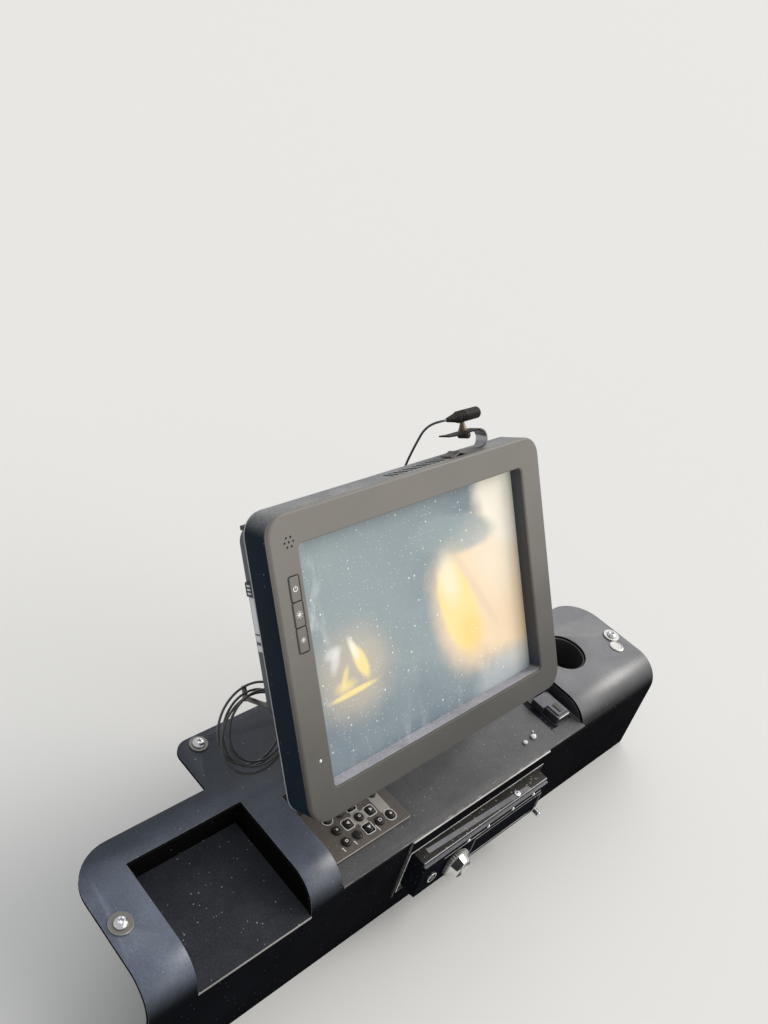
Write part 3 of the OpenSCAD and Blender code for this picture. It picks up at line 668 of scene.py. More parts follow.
@dataclass(frozen=True)
class Section:
    """One outline of a lofted case: a rectangle with round corners at a level."""

    width: float
    height: float
    radius: float
    level: float
    x: float = 0.0
    y: float = 0.0

    def at(self, level: float) -> "Section":
        """Gives the same outline at another level."""
        return replace(self, level=level)

    def inset(self, by: float, level: float | None = None, radius: float | None = None) -> "Section":
        """Gives an outline inside this one, or outside it.

        Args:
            by: How far inside it lies, and less than 0 for outside.
            level: Its level, where it has another one.
            radius: The radius of its corners, where it doesn't follow from the distance.

        Returns:
            The outline.
        """
        if radius is None:
            radius = max(self.radius - by, LEAST_RADIUS) if self.radius > 0 else 0.0
        return replace(self, width=self.width - 2 * by, height=self.height - 2 * by, radius=radius,
                       level=self.level if level is None else level)


def rounded_face(bm: BMesh, s: Section, steps: int = 6) -> BMFace:
    """Makes a flat rectangle with round corners.

    Args:
        bm: The mesh to add it to.
        s: Its sizes and place.
        steps: Edges along each corner.

    Returns:
        Its one face.
    """
    before = set(bm.faces)
    verts = bmesh.ops.create_grid(bm, x_segments=1, y_segments=1, size=0.5)["verts"]
    bmesh.ops.scale(bm, vec=(s.width, s.height, 1.0), verts=verts)
    bmesh.ops.translate(bm, vec=(s.x, s.y, s.level), verts=verts)
    if s.radius > 0:
        bmesh.ops.bevel(bm, geom=verts, offset=s.radius, offset_type="OFFSET", segments=steps, profile=0.5,
                        affect="VERTICES", clamp_overlap=False, material=-1)
    return next(f for f in bm.faces if f not in before)


def loft(bm: BMesh, sections: list[Section], steps: int = 6, ring: bool = False, place: Matrix = AS_IT_IS) -> None:
    """Joins rectangles with round corners into one closed skin.

    Args:
        bm: The mesh to add it to.
        sections: The outlines in order.
        steps: Edges along each corner.
        ring: Whether the last outline joins the first one, and no end is capped.
        place: Where the skin goes.
    """
    before = set(bm.verts)
    rings = []
    for i, s in enumerate(sections):
        face = rounded_face(bm, s, steps)
        rings.append(list(face.edges))
        if ring or 0 < i < len(sections) - 1:
            bmesh.ops.delete(bm, geom=[face], context="FACES_ONLY")
    if ring:
        rings.append(rings[0])
    for a, b in zip(rings, rings[1:]):
        bmesh.ops.bridge_loops(bm, edges=a + b)
    bmesh.ops.transform(bm, matrix=place, verts=[v for v in bm.verts if v not in before])


def tablet(bm: BMesh, s: Section, thickness: float, edge: float = 0.0) -> None:
    """Makes a plate with round corners and a chamfer round its upper face.

    Args:
        bm: The mesh to add it to.
        s: Its lower face.
        thickness: Its thickness.
        edge: The chamfer.
    """
    top = s.at(s.level + thickness)
    loft(bm, [s, top.at(top.level - edge), top.inset(edge)] if edge > 0 else [s, top])


def rim(bm: BMesh, s: Section, wall: float, thickness: float, place: Matrix = AS_IT_IS) -> None:
    """Makes a flat rectangular ring with round corners.

    Args:
        bm: The mesh to add it to.
        s: Its outer outline, at its lower face.
        wall: Its width.
        thickness: Its thickness.
        place: Where it goes.
    """
    top = s.at(s.level + thickness)
    loft(bm, [s, top, top.inset(wall), s.inset(wall)], ring=True, place=place)


def block(bm: BMesh, size: Point, middle: Point, round_by: float = 0.0, turn: float = 0.0) -> None:
    """Makes a block with rounded edges.

    Args:
        bm: The mesh to add it to.
        size: Its three sizes.
        middle: Its middle.
        round_by: The radius of its edges.
        turn: Its turn about its own upright, in degrees.
    """
    before = set(bm.verts)
    verts = bmesh.ops.create_cube(bm, size=1.0)["verts"]
    bmesh.ops.scale(bm, vec=size, verts=verts)
    if round_by > 0:
        edges = list({e for v in verts for e in v.link_edges})
        bmesh.ops.bevel(bm, geom=edges, offset=round_by, segments=2, profile=0.5, affect="EDGES",
                        clamp_overlap=True, material=-1)
    place = Matrix.Translation(middle) @ Matrix.Rotation(math.radians(turn), 4, "Z")
    bmesh.ops.transform(bm, matrix=place, verts=[v for v in bm.verts if v not in before])


def span(bm: BMesh, low: Point, high: Point, round_by: float = 0.0) -> None:
    """Makes a block between two corners, with the radius of its edges."""
    size = tuple(b - a for a, b in zip(low, high))
    block(bm, size, tuple((a + b) / 2 for a, b in zip(low, high)), round_by)


def plus(bm: BMesh, middle: Point, length: float, width: float, height: float) -> None:
    """Makes two crossed bars, the second one a hair thicker than the first."""
    block(bm, (length, width, height), middle)
    block(bm, (width, length, height + 0.02), middle)


def facing(y: float) -> Matrix:
    """Gives the place of flat shapes that face the operator, drawn with X right and Y up."""
    return Matrix.Translation((0, y, 0)) @ Matrix.Rotation(math.pi / 2, 4, "X")


def aimed(point: Point, direction: Point) -> Matrix:
    """Gives the place whose Z axis points along a direction.

    Args:
        point: Where its origin goes.
        direction: Where its Z axis points.

    Returns:
        The matrix of that place.
    """
    return Matrix.Translation(point) @ Vector(direction).to_track_quat("Z", "Y").to_matrix().to_4x4()


def lathe(bm: BMesh, profile: list[Flat], steps: int = 48, place: Matrix = AS_IT_IS) -> None:
    """Spins a profile of radius and height about Z.

    Args:
        bm: The mesh to add it to.
        profile: Radius and height of each point, from one end to the other.
        steps: Faces round the axis.
        place: Where the turned shape goes.
    """
    before = set(bm.verts)
    line = [bm.verts.new((r, 0.0, h)) for r, h in profile]
    edges = [bm.edges.new(pair) for pair in zip(line, line[1:])]
    bmesh.ops.spin(bm, geom=line + edges, cent=(0, 0, 0), axis=(0, 0, 1), angle=2 * math.pi, steps=steps,
                   use_merge=True)
    bmesh.ops.remove_doubles(bm, verts=[v for v in bm.verts if v not in before], dist=WELD)
    bmesh.ops.transform(bm, matrix=place, verts=[v for v in bm.verts if v not in before])


def rod(bm: BMesh, start: Point, end: Point, radius: float, round_by: float = 0.0, steps: int = 32) -> None:
    """Makes a round rod between two points.

    Args:
        bm: The mesh to add it to.
        start: The middle of one end.
        end: The middle of the other end.
        radius: Its radius.
        round_by: The radius of its two rims.
        steps: Faces round it.
    """
    length = (Vector(end) - Vector(start)).length
    profile = [(0, 0), (radius, 0), (radius, length), (0, length)]
    if round_by > 0:
        inner, corner = radius - round_by, 0.3 * round_by
        profile[1:3] = [(inner, 0), (radius - corner, corner), (radius, round_by), (radius, length - round_by),
                        (radius - corner, length - corner), (inner, length)]
    lathe(bm, profile, steps, aimed(start, Vector(end) - Vector(start)))


def washer(bm: BMesh, outer: float, inner: float, height: float, place: Matrix, steps: int = 40) -> None:
    """Makes a flat ring.

    Args:
        bm: The mesh to add it to.
        outer: Its outer radius.
        inner: Its inner radius.
        height: Its thickness.
        place: Where the middle of its lower face goes.
        steps: Faces round it.
    """
    soft = min(0.25, height / 3)
    lathe(bm, [(inner, 0), (outer, 0), (outer, height - soft), (outer - soft, height), (inner, height), (inner, 0)],
          steps, place)


def prism(bm: BMesh, outline: list[Flat], low: float, high: float, place: Matrix = AS_IT_IS) -> None:
    """Raises a flat outline.

    Args:
        bm: The mesh to add it to.
        outline: Its corners in order.
        low: Its lower level.
        high: Its upper level.
        place: Where it goes.
    """
    foot = [bm.verts.new((x, y, low)) for x, y in outline]
    face = bm.faces.new(foot)
    grown = bmesh.ops.extrude_face_region(bm, geom=[face], use_keep_orig=True)["geom"]
    top = [g for g in grown if isinstance(g, BMVert)]
    bmesh.ops.translate(bm, vec=(0, 0, high - low), verts=top)
    bmesh.ops.transform(bm, matrix=place, verts=foot + top)


def waved_prism(bm: BMesh, radius: Callable[[float], float], steps: int, low: float, high: float,
                place: Matrix) -> None:
    """Raises a round outline whose radius changes with its angle.

    Args:
        bm: The mesh to add it to.
        radius: The radius at an angle in radians.
        steps: Corners of the outline.
        low: Its lower level.
        high: Its upper level.
        place: Where it goes.
    """
    angles = [2 * math.pi * i / steps for i in range(steps)]
    prism(bm, [(radius(a) * math.cos(a), radius(a) * math.sin(a)) for a in angles], low, high, place)


def strip(bm: BMesh, path: list[Flat], width: float, thickness: float, level: float) -> None:
    """Bends a flat strip along a path in the XY plane.

    Args:
        bm: The mesh to add it to.
        path: The path's points.
        width: The strip's width along Z.
        thickness: Its thickness.
        level: The middle of its width along Z.
    """
    line = [bm.verts.new((x, y, level - width / 2)) for x, y in path]
    edges = [bm.edges.new(pair) for pair in zip(line, line[1:])]
    grown = bmesh.ops.extrude_edge_only(bm, edges=edges)["geom"]
    bmesh.ops.translate(bm, vec=(0, 0, width), verts=[g for g in grown if isinstance(g, BMVert)])
    faces = [g for g in grown if isinstance(g, BMFace)]
    bmesh.ops.recalc_face_normals(bm, faces=faces)
    bmesh.ops.solidify(bm, geom=faces, thickness=thickness)


def arc(middle: Flat, radius: float, start: float, end: float, steps: int) -> list[Flat]:
    """Gives points along an arc.

    Args:
        middle: Its middle.
        radius: Its radius.
        start: Its first angle in degrees.
        end: Its last angle in degrees.
        steps: How many steps it takes.

    Returns:
        Its points.
    """
    turns = [math.radians(start + (end - start) * i / steps) for i in range(steps + 1)]
    return [(middle[0] + radius * math.cos(t), middle[1] + radius * math.sin(t)) for t in turns]


def recolour(bm: BMesh, number: int, test: Callable[[Vector, Vector], bool]) -> None:
    """Gives some faces another of the piece's finishes.

    Args:
        bm: The mesh.
        number: The finish's number.
        test: Says from a face's middle and its normal whether it is one of them.
    """
    bmesh.ops.recalc_face_normals(bm, faces=bm.faces)
    for face in bm.faces:
        if test(face.calc_center_median(), face.normal):
            face.material_index = number


def linked(name: str, data: bpy.types.ID) -> Object:
    """Makes an object and links it to the scene."""
    made = bpy.data.objects.new(name, data)
    bpy.context.scene.collection.objects.link(made)
    return made


def to_mesh(bm: BMesh, name: str, place: Matrix = AS_IT_IS) -> Mesh:
    """Moves a bmesh to its place, turns it into a mesh and frees it."""
    bmesh.ops.transform(bm, matrix=place, verts=bm.verts)
    mesh = bpy.data.meshes.new(name)
    bm.to_mesh(mesh)
    bm.free()
    return mesh


def smooth(mesh: Mesh, sharp: float) -> None:
    """Shades a mesh smoothly, up to an angle in degrees."""
    mesh.shade_smooth()
    mesh.set_sharp_from_angle(angle=math.radians(sharp))


def settle(bm: BMesh, name: str, finishes: list[Finish | DustyScreenWithReflections], body: Body,
           sharp: float = SHARP, drawn: bool = True) -> Object:
    """Turns a bmesh into a finished piece that rides on a body.

    Args:
        bm: The shape, which is freed.
        name: The piece's name.
        finishes: Its finishes, in the order of its faces' material numbers.
        body: What it rides on.
        sharp: The angle in degrees above which an edge stays sharp.
        drawn: Whether it is drawn here in its body's frame, and not a copy of a CAD node.

    Returns:
        The piece.
    """
    if drawn:
        bmesh.ops.remove_doubles(bm, verts=bm.verts, dist=WELD)
        bmesh.ops.recalc_face_normals(bm, faces=bm.faces)
    mesh = to_mesh(bm, name, body.drawn if drawn else AS_IT_IS)
    for finish in finishes:
        mesh.materials.append(finish.material())
    smooth(mesh, sharp)
    piece = linked(name, mesh)
    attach(piece, body.value)
    log.info("%s: %d faces on %s", name, len(mesh.polygons), body.value)
    return piece


def stand_in(bm: BMesh, node: str, finishes: list[Finish | DustyScreenWithReflections], sharp: float = SHARP,
             drawn: bool = True) -> Object:
    """Turns a bmesh into the piece that stands for a CAD node, on its body, and hides the node.

    Args:
        bm: The shape, which is freed.
        node: The CAD node.
        finishes: Its finishes, in the order of its faces' material numbers.
        sharp: The angle in degrees above which an edge stays sharp.
        drawn: Whether it is drawn here in its body's frame, and not a copy of the node.

    Returns:
        The piece.
    """
    piece = settle(bm, node + "_finished", finishes, BODY_OF[node], sharp, drawn)
    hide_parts(node)
    return piece


def flatten_modifiers(piece: Object, sharp: float) -> None:
    """Applies a piece's modifiers to its mesh.

    Args:
        piece: The piece, which keeps its name and place.
        sharp: The angle in degrees above which an edge stays sharp.
    """
    bpy.context.view_layer.update()
    ready = piece.evaluated_get(bpy.context.evaluated_depsgraph_get())
    mesh = bpy.data.meshes.new_from_object(ready)
    piece.modifiers.clear()
    old, piece.data = piece.data, mesh
    mesh.name = piece.name
    bpy.data.meshes.remove(old)
    smooth(mesh, sharp)


def carve(piece: Object, cutter_shape: BMesh, place: Matrix, sharp: float = SHARP) -> None:
    """Cuts a shape out of a piece.

    Args:
        piece: The piece.
        cutter_shape: What is cut away, which is freed.
        place: Where it goes in the row frame.
        sharp: The angle in degrees above which an edge stays sharp.
    """
    bmesh.ops.recalc_face_normals(cutter_shape, faces=cutter_shape.faces)
    mesh = to_mesh(cutter_shape, "cutter", place)
    cutter = linked("cutter", mesh)
    cut = piece.modifiers.new("cut", "BOOLEAN")
    cut.object, cut.operation, cut.solver = cutter, "DIFFERENCE", "FAST"
    flatten_modifiers(piece, sharp)
    bpy.data.objects.remove(cutter)
    bpy.data.meshes.remove(mesh)


def soften(node: str, finishes: list[Finish], width: float = 0.5, segments: int = 2) -> Object:
    """Stands a copy of a CAD node in its place, with its edges broken.

    Args:
        node: The CAD node.
        finishes: Its finish, and a second one where the broken edges have their own.
        width: The width of the broken edges.
        segments: Faces across each edge.

    Returns:
        The piece.
    """
    bm = bmesh.new()
    bm.from_mesh(frame["nodes"][node].data)
    for face in bm.faces:
        face.material_index = 0
    bmesh.ops.remove_doubles(bm, verts=bm.verts, dist=CAD_WELD)
    bmesh.ops.dissolve_limit(bm, angle_limit=math.radians(1.0), verts=bm.verts, edges=bm.edges,
                             use_dissolve_boundaries=False)
    piece = stand_in(bm, node, finishes, drawn=False)
    edge = piece.modifiers.new("broken_edges", "BEVEL")
    edge.width, edge.segments = width * MM, segments
    edge.limit_method, edge.angle_limit = "ANGLE", math.radians(SHARP)
    edge.material = len(finishes) - 1
    edge.use_clamp_overlap = True
    flatten_modifiers(piece, SHARP_AFTER_BREAKING)
    return piece


@dataclass
class View:
    """The photograph's camera, the pale floor and the soft light."""

    place: Point = (-0.5388, -0.3074, 0.6423)
    right: Point = (0.71515, -0.65931, 0.23210)
    up: Point = (0.24497, 0.54742, 0.80021)
    focal_px: float = 961.73
    image_h: int = 1024
    sensor_h: float = 36.0
    nearest: float = 0.01
    floor_size: float = 80.0
    floor_colour: Colour = (0.72, 0.71, 0.69)
    sky: float = 0.58
    sky_colour: Colour = (0.94, 0.97, 1.0)
    lamps: tuple[tuple[str, Point, float, float, Colour], ...] = (
        ("ahead", (0.62, 0.42, 0.68), 50.0, 0.8, (0.97, 0.98, 1.0)),
        ("right", (0.76, -0.24, 0.62), 28.0, 1.6, (1.0, 0.96, 0.90)),
        ("behind", (0.40, -0.78, 0.46), 40.0, 0.65, (1.0, 0.98, 0.95)),
    )

    def camera(self) -> None:
        """Creates the camera where the photograph was taken from."""
        data = bpy.data.cameras.new("photo_view")
        data.sensor_fit = "VERTICAL"
        data.sensor_height = self.sensor_h
        data.lens = self.focal_px * self.sensor_h / self.image_h
        data.clip_start = self.nearest
        camera = linked("photo_view", data)
        right, up = Vector(self.right), Vector(self.up)
        turn = Matrix((right, up, right.cross(up).normalized())).transposed()
        camera.matrix_world = Matrix.Translation(self.place) @ turn.to_4x4()
        bpy.context.scene.camera = camera

    def floor(self) -> None:
        """Lays the pale floor just under the console."""
        bm = bmesh.new()
        bmesh.ops.create_grid(bm, x_segments=1, y_segments=1, size=self.floor_size / 2)
        mesh = to_mesh(bm, "floor")
        made, _, _ = start_material("pale_floor", Base_Color=self.floor_colour, Roughness=0.9, Specular_IOR_Level=0.1)
        mesh.materials.append(made)
        floor = linked("floor", mesh)
        floor.location.z = cad_box[0][2] - MM

    def lamp(self, name: str, toward: Point, spread: float, strength: float, colour: Colour) -> None:
        """Hangs a far, wide and soft lamp.

        Args:
            name: Its name.
            toward: The direction from the console to it.
            spread: How wide it looks from the console, in degrees.
            strength: How strongly it lights what faces it.
            colour: Its colour.
        """
        data = bpy.data.lights.new(name, "SUN")
        data.angle, data.energy, data.color = math.radians(spread), strength, colour
        linked(name, data).matrix_world = aimed(Vector(toward), Vector(toward))

    def light(self) -> None:
        """Lights the scene softly all round, and most from the right."""
        world = bpy.data.worlds.new("studio")
        world.use_nodes = True
        bench = NodeBench(world.node_tree)
        sky = bench.add("Background", Color=self.sky_colour, Strength=self.sky)
        bench.add("OutputWorld", Surface=sky.outputs[0])
        bpy.context.scene.world = world
        for row in self.lamps:
            self.lamp(*row)

    def build(self) -> None:
        """Sets the whole stage up."""
        self.camera()
        self.floor()
        self.light()
        bpy.context.scene.view_settings.view_transform = "Standard"


@dataclass
class MicLead:
    """The microphone's lead, its hanging coil and its plug, in the display's own frame."""

    diameter: float = 2.0
    coil_middle: Point = (-132.0, -62.4, -80.0)
    coil_radius: float = 31.0
    looseness: float = 3.4
    turns: int = 5
    turn_pitch: float = 2.1
    join_deg: float = 60.0
    leave_deg: float = 30.0
    points_per_turn: int = 28
    stretch: int = 6
    rise: Flat = (2.0, 1.7)
    drift: Flat = (1.8, 5.1)
    plug_foot: Point = (-93.0, -54.0, -56.0)
    run: tuple[Point, ...] = (
        (50.7, 148.5, -12), (45.5, 148.5, -13), (41.5, 147.5, -17), (39.5, 145, -22.5), (38.5, 140.5, -28.5),
        (37.5, 134, -34), (36, 126.5, -39.5), (33.5, 118, -44.5), (29.5, 109, -47.7), (22.5, 100.5, -48.2),
        (13, 92.5, -47.6), (3, 84.5, -47.5), (-7.5, 76.5, -47.5), (-18, 69, -47.5), (-29, 61.5, -47.5),
        (-40, 54, -47.5), (-51, 46.5, -47.5), (-62, 38.5, -47.5), (-72.5, 29.5, -47.5), (-81.5, 19, -47.5),
        (-89, 8, -47.8), (-96.5, -3, -49.5), (-102.5, -12.5, -54), (-107.5, -20.5, -61), (-111, -26, -69),
        (-113.2, -30, -77))
    tail: tuple[Point, ...] = (
        (-105, -47, -73.4), (-104.3, -48.6, -70), (-101, -51.5, -66.8), (-97, -53.4, -64.3), (-94.2, -54, -61),
        (-93, -54, -56.3))

    def coil(self) -> list[Vector]:
        """Works out the coil's loose turns, from the back of the bundle to its front.

        Returns:
            The points along the turns.
        """
        x, y, z = self.coil_middle
        start = math.radians(self.join_deg - 10)
        swept = 2 * math.pi * self.turns + start - math.radians(self.leave_deg + 4)
        steps = round(self.points_per_turn * self.turns)
        depth = self.turn_pitch * self.turns
        points = []
        for i in range(steps + 1):
            share = i / steps
            angle = start - swept * share
            calm = min(1.0, 8 * share, 8 * (1 - share))
            radius = self.coil_radius + calm * self.looseness * math.sin(0.62 * swept * share + 0.6)
            up, aside = (calm * reach * math.sin(waves * share * math.pi) for reach, waves in (self.rise, self.drift))
            points.append(Vector((x + radius * math.cos(angle) + aside, y + radius * math.sin(angle) + up,
                                  z - depth / 2 + depth * share)))
        return points

    def smooth(self, points: list[Vector]) -> list[Vector]:
        """Rounds a route off between its points.

        Args:
            points: The route's points.

        Returns:
            More points on one smooth curve through them.
        """
        ends = [2 * points[0] - points[1], *points, 2 * points[-1] - points[-2]]
        out = []
        for a, b, c, d in zip(ends, ends[1:], ends[2:], ends[3:]):
            for k in range(self.stretch):
                t = k / self.stretch
                out.append(0.5 * (2 * b + (c - a) * t + (2 * a - 5 * b + 4 * c - d) * t * t
                                  + (3 * b - a - 3 * c + d) * t ** 3))
        return [*out, points[-1]]

    def build(self) -> None:
        """Makes the lead as one cord, and its plug."""
        line = [LEANED @ p for p in self.smooth([*map(Vector, self.run), *self.coil(), *map(Vector, self.tail)])]
        data = bpy.data.curves.new("mic_lead", "CURVE")
        data.dimensions = "3D"
        data.bevel_depth = self.diameter / 2 * MM
        data.bevel_resolution = 3
        spline = data.splines.new("POLY")
        spline.points.add(len(line) - 1)
        for point, at in zip(spline.points, line):
            point.co = (*at, 1.0)
        data.materials.append(LEAD_GREY.material())
        lead = linked("mic_lead", data)
        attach(lead, Body.DISPLAY.value)
        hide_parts("lead_run", "lead_coil", "lead_tail")
        plug = self.plug()

    def plug(self) -> Object:
        """Makes the ribbed plug at the lead's end."""
        bm = bmesh.new()
        ribs = [(1.6 + 0.4 * (i % 2) + 0.2 * i, 1.2 * i) for i in range(6)]
        lathe(bm, [(0.0, 0.0), *ribs, (3.2, 7.0), (3.5, 7.8), (3.5, 17.2), (3.1, 18.0), (0.0, 18.0)], 32,
              aimed(self.plug_foot, (0, 0, 1)))
        return stand_in(bm, "lead_plug", [SOFT_BLACK])


@dataclass
class ConsoleSheet:
    """The folded sheet with its welded trays, the tool cup and the fixing screws."""

    sheet: float = 3.0
    fixings: tuple[Point, ...] = ((-303, 0, 9), (303, 0, 9), (-169, 105, 8), (111, 105, 8))
    head_r: float = 5.5
    head_h: float = 3.2
    washer_h: float = 1.4
    washer_hole: float = 3.4
    star: Flat = (2.1, 0.45)
    blank_disc: Point = (294.0, -14.0, 8.0)
    crumb_rows: tuple[Point, ...] = ((121, -41.7, 3.2), (107.8, -42.3, 2.7), (126, -37, 1.2))
    crumb_z: float = -13.9
    panel: tuple[float, float, float, float] = (-66.0, 124.0, -92.0, -14.0)
    panel_t: float = 2.0
    face_y: float = -61.0
    slot_w: float = 182.6
    slot_h: float = 53.6
    slot_x: float = 28.5
    slot_z: float = -58.0
    cup_place: Point = (229.0, 12.0, 0.0)
    cup_r: float = 24.7
    cup_depth: float = 60.0
    lip_front: float = -62.0

    def sheets(self) -> None:
        """Finishes the folded sheet and its two trays, with the pocket's bare front lip."""
        soften("console_shell", [POWDER_BLACK, WORN_EDGE], 0.6)
        soften("shelf_tray", [SHELF_BLACK, WORN_EDGE], 0.5)
        pocket = soften("pocket_tray", [POCKET_BLACK, BARE_EDGE], 0.4)
        for face in pocket.data.polygons:
            face.material_index = int(face.center.y < (self.lip_front + 0.5) * MM)

    def radio_panel(self) -> None:
        """Makes the plate in front of the face that frames the radio's slot."""
        x0, x1, z0, z1 = self.panel
        outer = Section(x1 - x0, z1 - z0, 0.0, 0.05, (x0 + x1) / 2, (z0 + z1) / 2)
        inner = Section(self.slot_w, self.slot_h, 0.0, 0.05, self.slot_x, self.slot_z)
        bm = bmesh.new()
        loft(bm, [outer, outer.at(self.panel_t - 0.4), outer.inset(0.4, self.panel_t), inner.inset(-0.5, self.panel_t),
                  inner.at(self.panel_t - 0.5), inner], ring=True, place=facing(self.face_y))
        low = self.face_y - self.panel_t
        recolour(bm, 1, lambda at, up: low + 0.05 < at.y < low + 0.7 or abs(up.y) < 0.5)
        settle(bm, "radio_panel", [POWDER_BLACK, WORN_EDGE], Body.CONSOLE)
        # Thin pale strips along the plate's top edge and the slot's upper and left lips: painted highlights.
        bare = bmesh.new()
        left, lip = self.slot_x - self.slot_w / 2, self.slot_z + self.slot_h / 2
        span(bare, (x0 + 1, low - 0.15, z1 - 1.0), (x1 - 1, low + 1.0, z1 + 0.15), 0.2)
        span(bare, (left - 1.2, low - 0.3, lip + 0.1), (left + self.slot_w, low + 0.6, lip + 1.4), 0.2)
        span(bare, (left - 1.2, low - 0.3, lip - self.slot_h), (left - 0.2, low + 0.6, lip + 1.4), 0.2)
        settle(bare, "panel_lit_edges", [LIT_EDGE], Body.CONSOLE)

    def tool_cup(self) -> None:
        """Makes the moulded liner of the round hole."""
        bm = bmesh.new()
        r, d = self.cup_r, self.cup_depth
        flange = r + 4.3
        lathe(bm, [(0, -d), (r - 3, -d), (r - 0.8, 1.0 - d), (r, 3.0 - d), (r, -2.0), (flange - 0.4, -2.0),
                   (flange, -1.6), (flange, -0.1), (r, -0.1), (r - 0.2, 0.6), (r - 1.0, 1.0), (r - 1.8, 0.6),
                   (r - 2.0, 0.0), (r - 2.0, 6.0 - d), (r - 4.0, 2.5 - d), (r - 6.0, 2.0 - d), (0, 2.0 - d)],
              72, Matrix.Translation(self.cup_place))
        stand_in(bm, "tool_cup", [SOFT_BLACK])

    def screws(self) -> None:
        """Makes the button heads with star holes, on their flat washers, and the blank disc."""
        heads, rings, stars = bmesh.new(), bmesh.new(), bmesh.new()
        h, k = self.head_h, self.head_r
        hole, wave = self.star
        for x, y, r in self.fixings:
            washer(rings, r, self.washer_hole, self.washer_h, Matrix.Translation((x, y, self.sheet)))
            foot = Matrix.Translation((x, y, self.sheet + self.washer_h))
            lathe(heads, [(0, 0), (k - 0.3, 0), (k, 0.3), (k * 0.97, 1.0), (k * 0.86, 1.9), (k * 0.66, 2.7),
                          (k * 0.42, h), (0, h)], 40, foot)
            waved_prism(stars, lambda a: hole + wave * math.cos(6 * a), 48, h - 1.9, h + 1.0, foot)
        # The washers take the brighter steel on their rims, and the one at the right end takes it all over as a painted
        # highlight.
        recolour(rings, 1, lambda at, up: up.z < 0.9 or at.x > 250)
        settle(rings, "fixing_washers", [DARK_STEEL, STEEL], Body.CONSOLE)
        carve(settle(heads, "fixing_screws", [CHROME], Body.CONSOLE), stars, UPRIGHT)
        bm = bmesh.new()
        x, y, r = self.blank_disc
        lathe(bm, [(0, 0), (r, 0), (r, 0.6), (r - 0.7, 1.1), (r - 2.2, 1.2), (r - 2.6, 0.9), (0, 0.9)], 40,
              Matrix.Translation((x, y, self.sheet)))
        settle(bm, "blank_disc", [STEEL], Body.CONSOLE)

    def crumbs(self) -> None:
        """Makes three crumbs of dried dirt on the shelf."""
        bm = bmesh.new()
        for x, y, r in self.crumb_rows:
            made = bmesh.ops.create_icosphere(bm, subdivisions=2, radius=r)["verts"]
            for i, v in enumerate(made):
                v.co *= 1 + 0.16 * math.sin(3.1 * i + x)
            bmesh.ops.scale(bm, vec=(1.0, 0.85, 0.5), verts=made)
            bmesh.ops.translate(bm, vec=(x, y, self.crumb_z + 0.4 * r), verts=made)
        settle(bm, "dirt_crumbs", [CRUMB_WHITE], Body.CONSOLE, sharp=80)

    def build(self) -> None:
        """Builds the console's sheet and what is fixed to it."""
        self.sheets()
        self.radio_panel()
        self.tool_cup()
        self.screws()
        self.crumbs()


